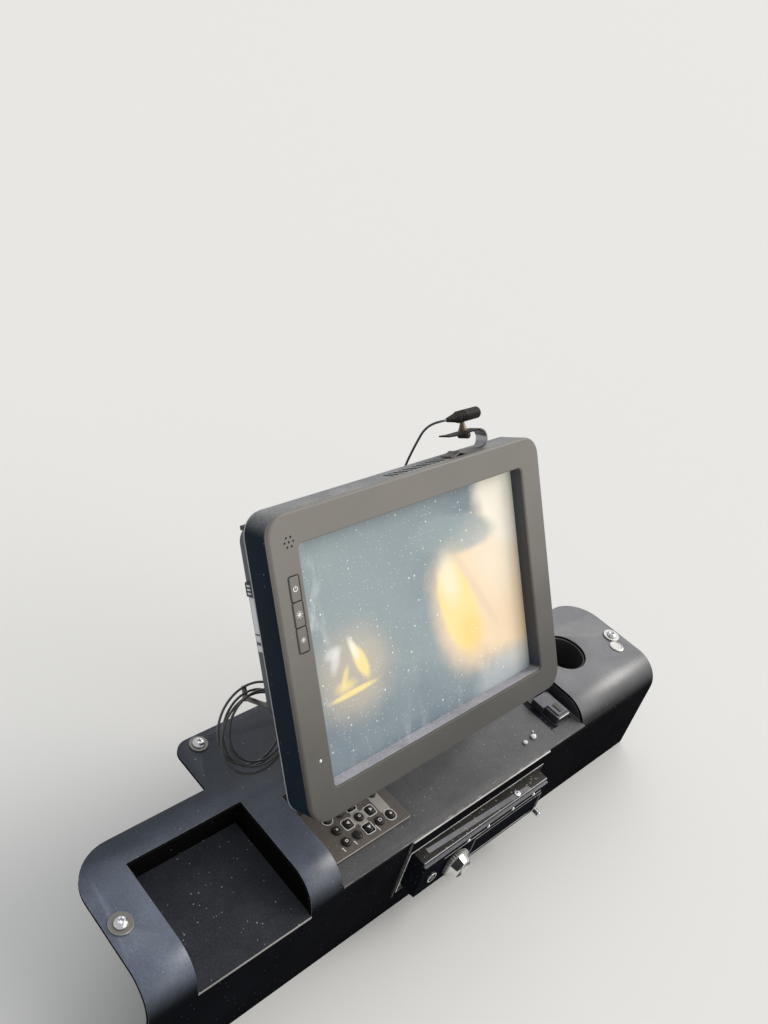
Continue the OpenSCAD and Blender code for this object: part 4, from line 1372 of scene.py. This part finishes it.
@dataclass
class Keypad:
    """The keypad's plate, its domed keys and its prints."""

    left: float = -136.0
    front: float = -43.0
    width: float = 85.0
    depth: float = 52.0
    thick: float = 4.0
    shelf_z: float = -14.0
    key_left: float = 20.0
    key_front: float = 11.0
    pitch: float = 12.5
    key_r: float = 4.3
    key_h: float = 2.2
    box: float = 10.6
    line: float = 0.65
    ink: float = 0.16
    sunk: float = 0.12

    @property
    def top(self) -> float:
        """The level of the plate's upper face."""
        return self.shelf_z + self.thick

    def key(self, column: int, row: int) -> Flat:
        """Gives a key's middle from its column and row."""
        return (self.left + self.key_left + column * self.pitch, self.front + self.key_front + row * self.pitch)

    def plate(self) -> None:
        """Makes the plate with its bright chamfer, pale partly from dust and partly as a painted highlight."""
        bm = bmesh.new()
        foot = Section(self.width, self.depth, 2.0, self.shelf_z, self.left + self.width / 2,
                       self.front + self.depth / 2)
        waist = foot.inset(0.8, radius=2.0)
        loft(bm, [waist, waist.at(self.shelf_z + 1.2), foot.at(self.shelf_z + 1.6), foot.at(self.top - 0.8),
                  foot.inset(0.7, self.top, 1.4)])
        recolour(bm, 1, lambda at, up: at.z > self.top - 0.78 and up.z < 0.95)
        stand_in(bm, "keypad_plate", [KEYPAD_BROWN, KEYPAD_EDGE_DUST_AND_HIGHLIGHT])

    def keys(self) -> None:
        """Makes the domed keys."""
        bm = bmesh.new()
        places = [(c, r) for r in range(3) for c in range(5) if (c, r) not in ((3, 2), (4, 1))]
        k, h = self.key_r, self.key_h
        for place in places:
            lathe(bm, [(0, 0), (k, 0), (k, 0.5), (0.95 * k, 1.1), (0.82 * k, 1.7), (0.55 * k, 2.1), (0, h)], 28,
                  Matrix.Translation((*self.key(*place), self.top)))
        stand_in(bm, "keypad_keys", [KEY_BLACK], 50)

    def prints(self) -> None:
        """Makes the pale fields, the outlines and the small generic signs."""
        grey, white = bmesh.new(), bmesh.new()
        cx, cy = self.key(2, 1)
        reach = 2 * self.pitch - self.box
        wide = 0.86 * self.box
        tablet(grey, Section(reach, wide, 1.0, self.top, cx, cy), self.ink)
        tablet(grey, Section(wide, reach, 1.0, self.top, cx, cy), self.ink * 0.95)
        tx, ty = self.key(4, 0)
        tablet(grey, Section(self.box, 23.0, 0.8, self.top, tx - 0.4, ty + 16.6), self.ink)
        for column, row in ((2, 0), (1, 1), (3, 1), (2, 2)):
            x, y = self.key(column, row)
            rim(white, Section(self.box, self.box, 2.4, self.top, x, y), self.line, self.ink * 1.1)
            outwards = Matrix.Rotation(math.atan2(y - cy, x - cx), 4, "Z")
            prism(white, [(1.9, 0.0), (-0.9, 1.7), (-0.9, -1.7)], 0.0, 0.2,
                  Matrix.Translation((x, y, self.top + self.key_h - 0.14)) @ outwards)
        rim(white, Section(self.box, self.box + 1.0, 5.0, self.top, tx, ty), self.line, self.ink * 1.1)
        plus(white, (tx, ty, self.top + self.key_h), 2.6, 0.6, 0.2)
        ring = Matrix.Translation((*self.key(0, 2), self.top))
        washer(white, self.box / 2, self.box / 2 - self.line, self.ink, ring)
        for column, row, size in ((0, 0, (2.6, 2.2)), (0, 1, (1.8, 1.8)), (3, 0, (3.4, 2.6)), (2, 1, (2.2, 2.2))):
            sign = Section(*size, 0.4, self.top + self.key_h - self.sunk, *self.key(column, row))
            rim(white, sign, 0.5, self.ink)
        for x, y, length, turn in ((-122.2, -36.4, 4.4, 8), (-109.6, -36.6, 4.2, 8), (-84.0, -36.2, 6.0, 6)):
            block(white, (0.8, length, self.ink), (x, y, self.top + self.ink / 2), turn=turn)
        settle(grey, "keypad_fields", [PRINT_GREY], Body.CONSOLE)
        settle(white, "keypad_signs", [PRINT_WHITE], Body.CONSOLE)

    def build(self) -> None:
        """Builds the keypad."""
        self.plate()
        self.keys()
        self.prints()


@dataclass
class Radio:
    """The radio in its standard slot: sleeve, case, nose, knob and buttons."""

    middle_x: float = 28.5
    middle_z: float = -58.0
    nose_w: float = 172.0
    nose_h: float = 46.0
    face_y: float = -61.0
    nose_front: float = -78.0
    step: float = 3.0
    bar_h: float = 6.4
    knob: Flat = (-12.0, -62.0)
    knob_r: float = 15.0
    button: Flat = (-43.5, -59.0)
    stud: Flat = (107.5, -74.0)
    eyelet: Flat = (73.0, -71.0)
    small_studs: tuple[Flat, ...] = ((61, -40.8), (-1, -41.2), (26, -41.0), (92, -41.0))
    window: Section = Section(98, 26, 1.5, 0, 61, -63.5)

    def toward(self, x: float, z: float) -> Matrix:
        """Gives the place of a turned piece on the nose that points at the operator.

        Args:
            x: Its place along X.
            z: Its height.

        Returns:
            The matrix of that place.
        """
        return aimed((x, self.nose_front, z), (0, -1, 0))

    def nose(self) -> None:
        """Makes the nose with its dusty top, its upper bar and its dark glossy face."""
        x0, x1 = self.middle_x - self.nose_w / 2, self.middle_x + self.nose_w / 2
        z0, z1 = self.middle_z - self.nose_h / 2, self.middle_z + self.nose_h / 2
        front, back = self.nose_front, self.nose_front + self.step
        bar_low = z1 - self.step - self.bar_h
        bm = bmesh.new()
        span(bm, (x0, back, z0), (x1, self.face_y - 0.1, z1), 0.9)
        recolour(bm, 1, lambda at, up: up.z > 0.5)
        span(bm, (x0 + 0.4, front, bar_low), (x1 - 0.4, back + 1, z1 - self.step), 0.8)
        span(bm, (x0 + 0.4, front + 0.6, z0 + 0.3), (x1 - 0.4, back + 1, bar_low - 0.5), 0.7)
        recolour(bm, 2, lambda at, up: at.y < back and up.z > 0.25 and abs(at.z - z1 + self.step) < 1.0)
        dusty = bmesh.new()
        rim(dusty, self.window, 0.7, 0.5, facing(front + 0.6))
        prism(dusty, [(x0 + 12, -65.0), (x1 - 26, -70.0), (x1 - 24, -74.6), (x0 + 12, -69.6)], z1 - 0.1, z1 + 0.12)
        settle(dusty, "radio_dust_lines", [DUSTY_BAND], Body.CONSOLE)
        # Thin pale strips along the bar's lower edge, the window's sill and the top's back edge: painted highlights.
        bright, sill = bmesh.new(), self.window.y - self.window.height / 2
        span(bright, (x0 + 26, front - 0.15, bar_low + 0.2), (x1 - 10, front + 0.5, bar_low + 1.0), 0.1)
        span(bright, (12, front + 0.3, sill - 0.2), (108, front + 1.0, sill + 0.8), 0.1)
        span(bright, (x0 + 1, back - 0.1, z1 - 0.9), (x1 - 1, back + 0.5, z1 + 0.1), 0.1)
        settle(bright, "radio_lit_lines", [LIT_EDGE], Body.CONSOLE)
        stand_in(bm, "radio_nose", [GLOSS_BLACK, DUSTY_STRIP, DUSTY_GREY])

    def turning_knob(self) -> None:
        """Makes the knurled knob with its faceted cap, whose dark facets are painted reflections."""
        bm = bmesh.new()
        r = self.knob_r
        place = self.toward(*self.knob)
        waved_prism(bm, lambda a: r - 0.45 + 0.45 * math.cos(36 * a), 144, 0.6, 3.6, place)
        washer(bm, r - 0.8, r - 3.4, 4.0, place, 48)
        recolour(bm, 1, lambda at, up: True)
        lathe(bm, [(r - 2.6, 2.0), (r - 2.6, 4.2), (r - 3.0, 5.0), (r - 4.4, 9.6), (r - 5.0, 10.6), (r - 6.2, 11.0),
                   (r - 7.0, 10.4), (0, 10.2)], 14, place)
        kx, kz = self.knob
        front = self.nose_front - 4.1
        # Every other facet of the cap's face takes the dark metal as a painted dark reflection.
        recolour(bm, 2, lambda at, up: at.y < front and math.sin(3 * math.atan2(at.z - kz, at.x - kx) + 0.6) > 0.1)
        stand_in(bm, "radio_knob", [CHROME, STEEL, DARK_REFLECTION], 12)

    def buttons(self) -> None:
        """Makes the ringed push button, the long stud and the small chrome studs."""
        bm = bmesh.new()
        place = self.toward(*self.button)
        lathe(bm, [(0, 0), (4.3, 0), (4.3, 1.5), (3.6, 1.9), (0, 1.7)], 36, place)
        lathe(bm, [(0, 0), (3.5, 0), (3.5, 1.4), (2.9, 1.8), (2.9, 6.6), (3.3, 7.0), (3.3, 8.0), (2.8, 8.5), (0, 8.5)],
              32, self.toward(*self.stud))
        recolour(bm, 1, lambda at, up: at.x > 90)
        stand_in(bm, "radio_buttons", [GLOSS_BLACK, CHROME])
        bright = bmesh.new()
        washer(bright, 5.5, 4.2, 2.0, place, 40)
        above = Matrix.Translation((*self.eyelet, self.middle_z + self.nose_h / 2))
        washer(bright, 3.2, 1.7, 1.0, above, 28)
        lathe(bright, [(0, 0), (1.6, 0), (1.6, 0.6), (1.0, 1.2), (0, 1.4)], 20, above)
        for x, z in self.small_studs:
            lathe(bright, [(0, 0), (1.7, 0), (1.6, 0.5), (1.0, 1.1), (0, 1.3)], 20, self.toward(x, z))
        rim(bright, Section(3.4, 3.4, 0.6, 0, *self.button), 0.5, 0.25, facing(self.nose_front - 1.7))
        settle(bright, "radio_studs", [CHROME], Body.CONSOLE)

    def build(self) -> None:
        """Builds the radio."""
        soften("radio_sleeve", [STEEL], 0.2)
        soften("radio_case", [STEEL], 0.5)
        self.nose()
        self.turning_knob()
        self.buttons()


@dataclass
class ShelfPlug:
    """The plug that stands in the shelf's cut-out."""

    left: float = 157.0
    right: float = 176.0
    front: float = -43.0
    back: float = -12.0
    top: float = -5.0

    def build(self) -> None:
        """Builds the plug with its latch, its ribs, its bright front edge and a dark sheet of painted shade under it.
        """
        soften("plug_block", [DUSTY_GREY], 0.9, 3)
        x0, x1, y, z = self.left, self.right, self.front, self.top
        middle = (x0 + x1) / 2
        bm = bmesh.new()
        for rib in range(4):
            span(bm, (x0 - 0.4, y + 5 + 3 * rib, -16), (x0 + 0.4, y + 6.2 + 3 * rib, -8), 0.2)
        span(bm, (middle - 3, y + 4, z - 0.4), (middle + 3, y + 14, z + 1.2), 0.8)
        span(bm, (middle - 3.6, y + 12, z - 0.4), (middle + 3.6, y + 15, z + 0.5), 0.4)
        settle(bm, "plug_latch", [SOFT_BLACK], Body.CONSOLE)
        bright = bmesh.new()
        span(bright, (x0 + 2, y - 0.3, -9.5), (x1 - 1, y + 0.6, -7.2), 0.3)
        settle(bright, "plug_front_edge", [PRINT_WHITE], Body.CONSOLE)
        # A dark sheet under the plug, in the shelf's cut-out, is painted shade.
        shade = bmesh.new()
        span(shade, (x0 - 26, y - 6, -18.6), (x1 + 5, self.back + 10, -17.6), 0.2)
        settle(shade, "plug_painted_shade", [POCKET_BLACK], Body.CONSOLE)


@dataclass
class Stand:
    """The foot, the swivelling head, the tilt pin and the bracket that carries the display."""

    middle: Flat = (-25.0, 78.0)
    foot_top: float = 9.0
    pin_z: float = 115.0
    bolt_pitch: Flat = (68.0, 42.0)
    head_half: float = 33.5
    grip_r: float = 16.0
    grip_len: float = 16.0
    pin_r: float = 5.0
    plate_y: float = -8.47
    plate_z: float = -51.0
    plate_pitch: Flat = (78.0, 48.0)

    def bolt(self, bm: BMesh, holes: BMesh, place: Matrix, radius: float = 5.0, height: float = 5.0) -> None:
        """Makes a socket-head bolt, and the shape of its six-sided hole.

        Args:
            bm: The mesh of the heads.
            holes: The mesh of the holes.
            place: Where the head stands.
            radius: The head's radius.
            height: The head's height.
        """
        lathe(bm, [(0, 0), (radius, 0), (radius, height - 0.6), (radius - 0.6, height), (0, height)], 32, place)
        waved_prism(holes, lambda a: 0.5 * radius, 6, height * 0.45, height + 1, place)

    def heads(self) -> None:
        """Makes the bolts of the foot and of the display's plate."""
        x, y = self.middle
        feet, feet_holes = bmesh.new(), bmesh.new()
        back, back_holes = bmesh.new(), bmesh.new()
        for sx in (-0.5, 0.5):
            for sy in (-0.5, 0.5):
                at = (x + sx * self.bolt_pitch[0], y + sy * self.bolt_pitch[1], self.foot_top)
                self.bolt(feet, feet_holes, Matrix.Translation(at))
                at = (sx * self.plate_pitch[0], self.plate_y + sy * self.plate_pitch[1], self.plate_z)
                self.bolt(back, back_holes, aimed(at, (0, 0, -1)), 4.2, 3.6)
        carve(settle(feet, "foot_bolts", [DARK_STEEL], Body.CONSOLE), feet_holes, UPRIGHT)
        carve(settle(back, "plate_bolts", [DARK_STEEL], Body.DISPLAY), back_holes, LEANED)

    def grips(self) -> None:
        """Makes the two lobed hand knobs on the pin."""
        bm = bmesh.new()
        x, y = self.middle
        r = self.grip_r
        bore, hub = self.pin_r + 0.1, r * 0.62
        for side in (-1, 1):
            place = aimed((x + side * self.head_half, y, self.pin_z), (side, 0, 0))
            lathe(bm, [(bore, 0), (hub, 0), (hub, 4.2), (bore, 4.2), (bore, 0)], 36, place)
            waved_prism(bm, lambda a: r * (0.93 + 0.07 * math.cos(5 * a)), 100, 4.0, self.grip_len, place)
        edges = [e for e in bm.edges if e.is_manifold and e.calc_face_angle(0) > math.radians(60)]
        bmesh.ops.bevel(bm, geom=edges, offset=1.2, segments=3, profile=0.5, affect="EDGES", clamp_overlap=True,
                        material=-1)
        stand_in(bm, "tilt_knobs", [SOFT_BLACK])

    def pin(self) -> None:
        """Makes the tilt pin with its rounded ends."""
        bm = bmesh.new()
        x, y = self.middle
        reach = self.head_half + self.grip_len / 2
        rod(bm, (x - reach, y, self.pin_z), (x + reach, y, self.pin_z), self.pin_r, 0.8, 40)
        stand_in(bm, "tilt_pin", [STEEL])

    def post(self) -> None:
        """Makes the weld at the post's foot."""
        bm = bmesh.new()
        lathe(bm, [(17.6, 0), (22.0, 0), (21.2, 1.2), (19.4, 3.0), (18.4, 4.4), (17.6, 4.6), (17.6, 0)], 64,
              Matrix.Translation((*self.middle, self.foot_top)))
        settle(bm, "post_weld", [POWDER_BLACK], Body.CONSOLE)

    def build(self) -> None:
        """Builds the stand."""
        for node in ("stand_foot", "swivel_head", "hinge_bracket"):
            soften(node, [POWDER_BLACK, WORN_EDGE], 0.7)
        self.heads()
        self.grips()
        self.pin()
        self.post()


@dataclass
class DisplayCase:
    """The display: bezel, buttons, glass, housing and rear case, drawn flat."""

    bezel: Section = Section(299.0, 234.0, 17.0, -4.0, 0.0, 1.0)
    opening: Section = Section(249.0, 187.0, 4.0, -13.0)
    speaker: Flat = (-132.3, 97.3)
    hole_r: float = 0.85
    hole_pitch: float = 3.9
    button_x: float = -133.3
    button_ys: tuple[float, ...] = (63.7, 44.8, 25.9)
    button_w: float = 8.4
    button_h: float = 18.3
    button_gap: float = 0.3
    led: Flat = (-134.2, -67.5)
    vent_from: float = -20.0
    vent_pitch: float = 5.2
    vents: int = 12
    case_side: float = -142.0
    case_back: float = -46.0
    case_top: float = 106.0
    case_screws: tuple[Flat, ...] = ((-134, 98), (134, 98), (-134, -36), (134, -36), (0, 98), (134, 30), (-134, 30))
    sockets_x: tuple[float, ...] = (64, 84, 104)

    def cap(self, y: float) -> Section:
        """Gives the foot of the bezel button at a height."""
        return Section(self.button_w, self.button_h, 1.3, -4.0, self.button_x, y)

    def front(self) -> None:
        """Makes the bezel with its chamfers, its reveal and its holes."""
        b, o = self.bezel, self.opening
        bm = bmesh.new()
        flange = o.inset(-3)
        loft(bm, [b, b.at(-1.5), b.inset(0.25, -0.7), b.inset(1.6, 0.0), o.inset(-1.2, 0.0), o.inset(-0.4, -0.5),
                  o.at(-1.4), o, flange, flange.at(b.level)], steps=8, ring=True)
        inside = (o.width / 2 + 0.3, o.height / 2 + 0.3)
        recolour(bm, 1, lambda at, up: at.z < -1.0 and abs(at.x) < inside[0] and abs(at.y) < inside[1])
        piece = stand_in(bm, "display_bezel", [BEZEL_TAUPE, REVEAL_DUST_AND_LIGHT], 20)
        holes = bmesh.new()
        for y in self.button_ys:
            hole = self.cap(y).inset(-self.button_gap, -5.0)
            loft(holes, [hole, hole.at(1.0)])
        for at in [self.speaker, *arc(self.speaker, self.hole_pitch, 0, 300, 5)]:
            rod(holes, (*at, -3.0), (*at, 1.0), self.hole_r, steps=20)
        rod(holes, (*self.led, -2.0), (*self.led, 1.0), 1.6, steps=20)
        carve(piece, holes, LEANED, 20)
        cloth = bmesh.new()
        rod(cloth, (*self.speaker, -3.4), (*self.speaker, -2.6), 7.0, 0.2)
        settle(cloth, "speaker_cloth", [PRINT_BLACK], Body.DISPLAY)

    def buttons(self) -> None:
        """Makes the three bezel buttons, their outlines, their signs and the lamp."""
        caps, lines, signs = bmesh.new(), bmesh.new(), bmesh.new()
        for y in self.button_ys:
            s = self.cap(y)
            tablet(caps, s, 4.5, 0.5)
            rim(lines, replace(s, width=s.width + 2.0, height=s.height + 1.7, radius=2.2, level=-0.3), 0.8, 0.42)
        stand_in(caps, "bezel_buttons", [BEZEL_TAUPE])
        settle(lines, "button_outlines", [PRINT_BLACK], Body.DISPLAY)
        power, bright, dim = (Matrix.Translation((self.button_x, y, 0.48)) for y in self.button_ys)
        loop = arc((0, 0), 2.1, 125, 415, 20) + arc((0, 0), 1.4, 415, 125, 20)
        prism(signs, loop, 0, 0.16, power)
        prism(signs, [(-0.35, 0.4), (0.35, 0.4), (0.35, 2.4), (-0.35, 2.4)], 0, 0.18, power)
        for place, r, rays in ((bright, 1.3, 2.9), (dim, 0.9, 2.1)):
            lathe(signs, [(0, 0), (r, 0), (r, 0.16), (0, 0.16)], 20, place)
            for i in range(8):
                turned = place @ Matrix.Rotation(math.radians(45 * i), 4, "Z")
                prism(signs, [(r + 0.3, -0.22), (rays, -0.22), (rays, 0.22), (r + 0.3, 0.22)], 0, 0.16, turned)
        lamp = Matrix.Translation((*self.led, 0))
        lathe(signs, [(0, -2), (1.3, -2), (1.3, -0.3), (0.9, 0.2), (0, 0.4)], 20, lamp)
        settle(signs, "bezel_signs", [PRINT_WHITE], Body.DISPLAY)

    def screen(self) -> None:
        """Makes the glass and finishes the panel behind it."""
        o = self.opening
        bm = bmesh.new()
        tablet(bm, Section(o.width + 5, o.height + 5, 4.0, o.level - 2.0), 2.0, 0.2)
        stand_in(bm, "screen_glass", [DustyScreenWithReflections()])
        soften("screen_panel", [DARK_STEEL], 0.5)

    def housing(self) -> None:
        """Finishes the housing, cuts its vents and makes its rear rim."""
        piece = soften("display_housing", [HOUSING_SHADE_AND_DUST], 1.0, 3)
        slots = bmesh.new()
        top = self.bezel.y + self.bezel.height / 2
        for i in range(self.vents):
            x = self.vent_from + i * self.vent_pitch
            span(slots, (x, top - 5, -20.0), (x + self.vent_pitch / 2, top + 5, -8.0))
        carve(piece, slots, LEANED, SHARP_AFTER_BREAKING)
        bm = bmesh.new()
        b = self.bezel
        rim(bm, replace(b, width=b.width + 0.5, height=b.height + 0.5, level=-28.1), 1.6, 0.9)
        settle(bm, "housing_rear_rim", [LABEL_BLANK], Body.DISPLAY)
        dark = bmesh.new()
        reach = self.vents * self.vent_pitch
        span(dark, (self.vent_from - 2, top - 4.5, -21), (self.vent_from + reach + 1, top - 3.5, -7), 0.3)
        settle(dark, "vent_mesh", [PRINT_BLACK], Body.DISPLAY)

    def rear(self) -> None:
        """Finishes the rear case with its slots, screws, sockets and blank labels."""
        case = soften("rear_chassis", [CASE_GREY], 0.8, 3)
        slots = bmesh.new()
        for i in range(9):
            s = Section(3.0, 40.0, 1.45, self.case_back - 3, 62 + 7 * i, 66)
            loft(slots, [s, s.at(self.case_back + 5)])
        carve(case, slots, LEANED, SHARP_AFTER_BREAKING)
        black, pale, steel = bmesh.new(), bmesh.new(), bmesh.new()
        side = self.case_side
        span(black, (side - 2.2, 55, -45), (side + 2, 66, -36), 0.6)
        for i in range(3):
            span(pale, (side - 2.5, 57.2 + 2.9 * i, -42.5), (side - 2.1, 58.6 + 2.9 * i, -38.5), 0.15)
        for low, high, wide in ((26, 54, -31.5), (19.6, 24.6, -34), (12, 17, -37)):
            span(pale, (side - 0.35, low, -44.5), (side + 0.3, high, wide), 0.15)
        span(black, (side + 1, self.case_top - 2, -44), (side + 12, self.case_top + 1.6, -34), 0.7)
        span(pale, (52, -32, self.case_back - 0.4), (112, 2, self.case_back + 0.2), 0.15)
        for x, y in self.case_screws:
            place = aimed((x, y, self.case_back), (0, 0, -1))
            lathe(steel, [(0, 0), (3.4, 0), (3.2, 0.9), (2.2, 1.7), (0, 2.0)], 28, place)
            plus(black, (x, y, self.case_back - 1.9), 3.6, 0.8, 0.5)
        for x in self.sockets_x:
            place = aimed((x, -54, -28), (0, 0, -1))
            lathe(steel, [(4.2, 0), (7.0, 0), (7.0, 2.0), (6.4, 2.4), (5.6, 2.4), (5.6, 8), (4.2, 8), (4.2, 0)], 36,
                  place)
            lathe(black, [(0, 0), (4.2, 0), (4.2, 5.5), (0, 5.5)], 36, place)
        settle(black, "case_sockets", [SOFT_BLACK], Body.DISPLAY)
        settle(pale, "case_labels", [PAPER_WHITE], Body.DISPLAY)
        settle(steel, "case_screws", [STEEL], Body.DISPLAY)

    def build(self) -> None:
        """Builds the display, with the lead's socket, saddles and hook on its back."""
        self.front()
        self.buttons()
        self.screen()
        self.housing()
        self.rear()
        soften("lead_socket", [SOFT_BLACK], 0.8, 3)
        soften("lead_clips", [SOFT_BLACK], 0.3)
        soften("lead_hook", [DARK_STEEL], 0.3)


@dataclass
class Microphone:
    """The clip-on microphone on its bent spring strip, drawn in the display's frame."""

    tail_x: float = 51.0
    length: float = 38.0
    radius: float = 5.0
    axis_y: float = 148.5
    back: float = -12.0
    foot_x: float = 69.0
    clip_top: float = 137.0
    bezel_top: float = 118.0
    clip_left: float = 45.0
    clip_right: float = 93.0
    clip_w: float = 12.0
    strip_t: float = 1.2

    def body(self) -> None:
        """Makes the ribbed tail, the barrel and the pierced end."""
        bm = bmesh.new()
        place = aimed((self.tail_x, self.axis_y, self.back), (1, 0, 0))
        r, end = self.radius, self.length
        ribs = [(1.55 + 0.19 * i + 0.22 * (i % 2), 0.9 * i) for i in range(12)]
        lathe(bm, [(0, 0), *ribs, (r - 0.7, 11.4), (r, 13.0), (r, 14.2), (r - 0.5, 14.6), (r - 0.5, 15.6), (r, 16.0),
                   (r, 17.2), (r - 0.5, 17.6), (r - 0.5, 18.6), (r, 19.0), (r, end - 1.4), (r - 0.5, end - 0.4),
                   (r - 0.9, end), (r - 1.2, end - 0.2), (r - 1.3, end - 0.8), (0, end - 0.8)], 48, place)
        recolour(bm, 1, lambda at, up: at.x > self.tail_x + end - 1.3 and up.x < 0.9)
        piece = stand_in(bm, "mic_body", [MIC_BLACK, DARK_STEEL])
        holes = bmesh.new()
        tip = self.tail_x + end
        axis = (self.axis_y, self.back)
        for at in [axis, *arc(axis, 2.3, 0, 315, 7)]:
            rod(holes, (tip - 2.2, *at), (tip + 1.0, *at), 0.55, steps=14)
        carve(piece, holes, LEANED)

    def clip(self) -> None:
        """Makes the spring strip, its foot and its small spring."""
        low, high = self.bezel_top + 0.1, self.clip_top - self.strip_t
        bend_r = (high - low) / 2
        bend_x = self.clip_right - bend_r - self.strip_t
        wave = [(self.clip_left + x, low + y) for x, y in (
            (0, 0.9), (4, 0.2), (8, 1.4), (11, 2.6), (14, 1.6), (18, 0.2), (26, 0))]
        flare = [(self.clip_left + x, high + y) for x, y in ((14, 0), (8, 0.1), (4, 0.5), (1, 0.7))]
        bm = bmesh.new()
        strip(bm, wave + arc((bend_x, low + bend_r), bend_r, -90, 90, 18) + flare, self.clip_w, self.strip_t, self.back)
        recolour(bm, 1, lambda at, up: at.x < bend_x + 1 and at.y > self.bezel_top + 12)
        recolour(bm, 2, lambda at, up: at.x < bend_x + 1 and at.y < self.bezel_top + 12)
        stand_in(bm, "mic_clip", [DARK_CHROME, MIC_BLACK, DARK_STEEL], 30)
        foot = bmesh.new()
        lathe(foot, [(0, 0), (4.0, 0), (4.0, 0.7), (3.4, 1.2), (2.2, 4.6), (2.0, 6.9), (0, 6.9)], 36,
              aimed((self.foot_x, self.clip_top - 0.1, self.back), (0, 1, 0)))
        settle(foot, "mic_foot", [BRASS], Body.DISPLAY)
        spring = bmesh.new()
        axle = (self.foot_x + 0.5, high - 3.0)
        for i in range(6):
            at = (*axle, self.back - 4.5 + 1.8 * i)
            lathe(spring, arc((2.4, 0.0), 0.7, 0, 360, 8), 28, aimed(at, (0, 0, 1)))
        rod(spring, (*axle, self.back - 6), (*axle, self.back + 6), 1.9, 0.3)
        settle(spring, "mic_clip_spring", [RUSTY_SPRING], Body.DISPLAY)

    def build(self) -> None:
        """Builds the microphone and its clip."""
        self.body()
        self.clip()


def main() -> None:
    """Builds the stage and every piece in order."""
    logging.basicConfig(level=logging.INFO, format="%(name)s: %(message)s")
    for part in (View(), MicLead(), ConsoleSheet(), Keypad(), Radio(), ShelfPlug(), Stand(), DisplayCase(),
                 Microphone()):
        part.build()
        log.info("%s built", type(part).__name__)


if __name__ == "__main__":
    main()
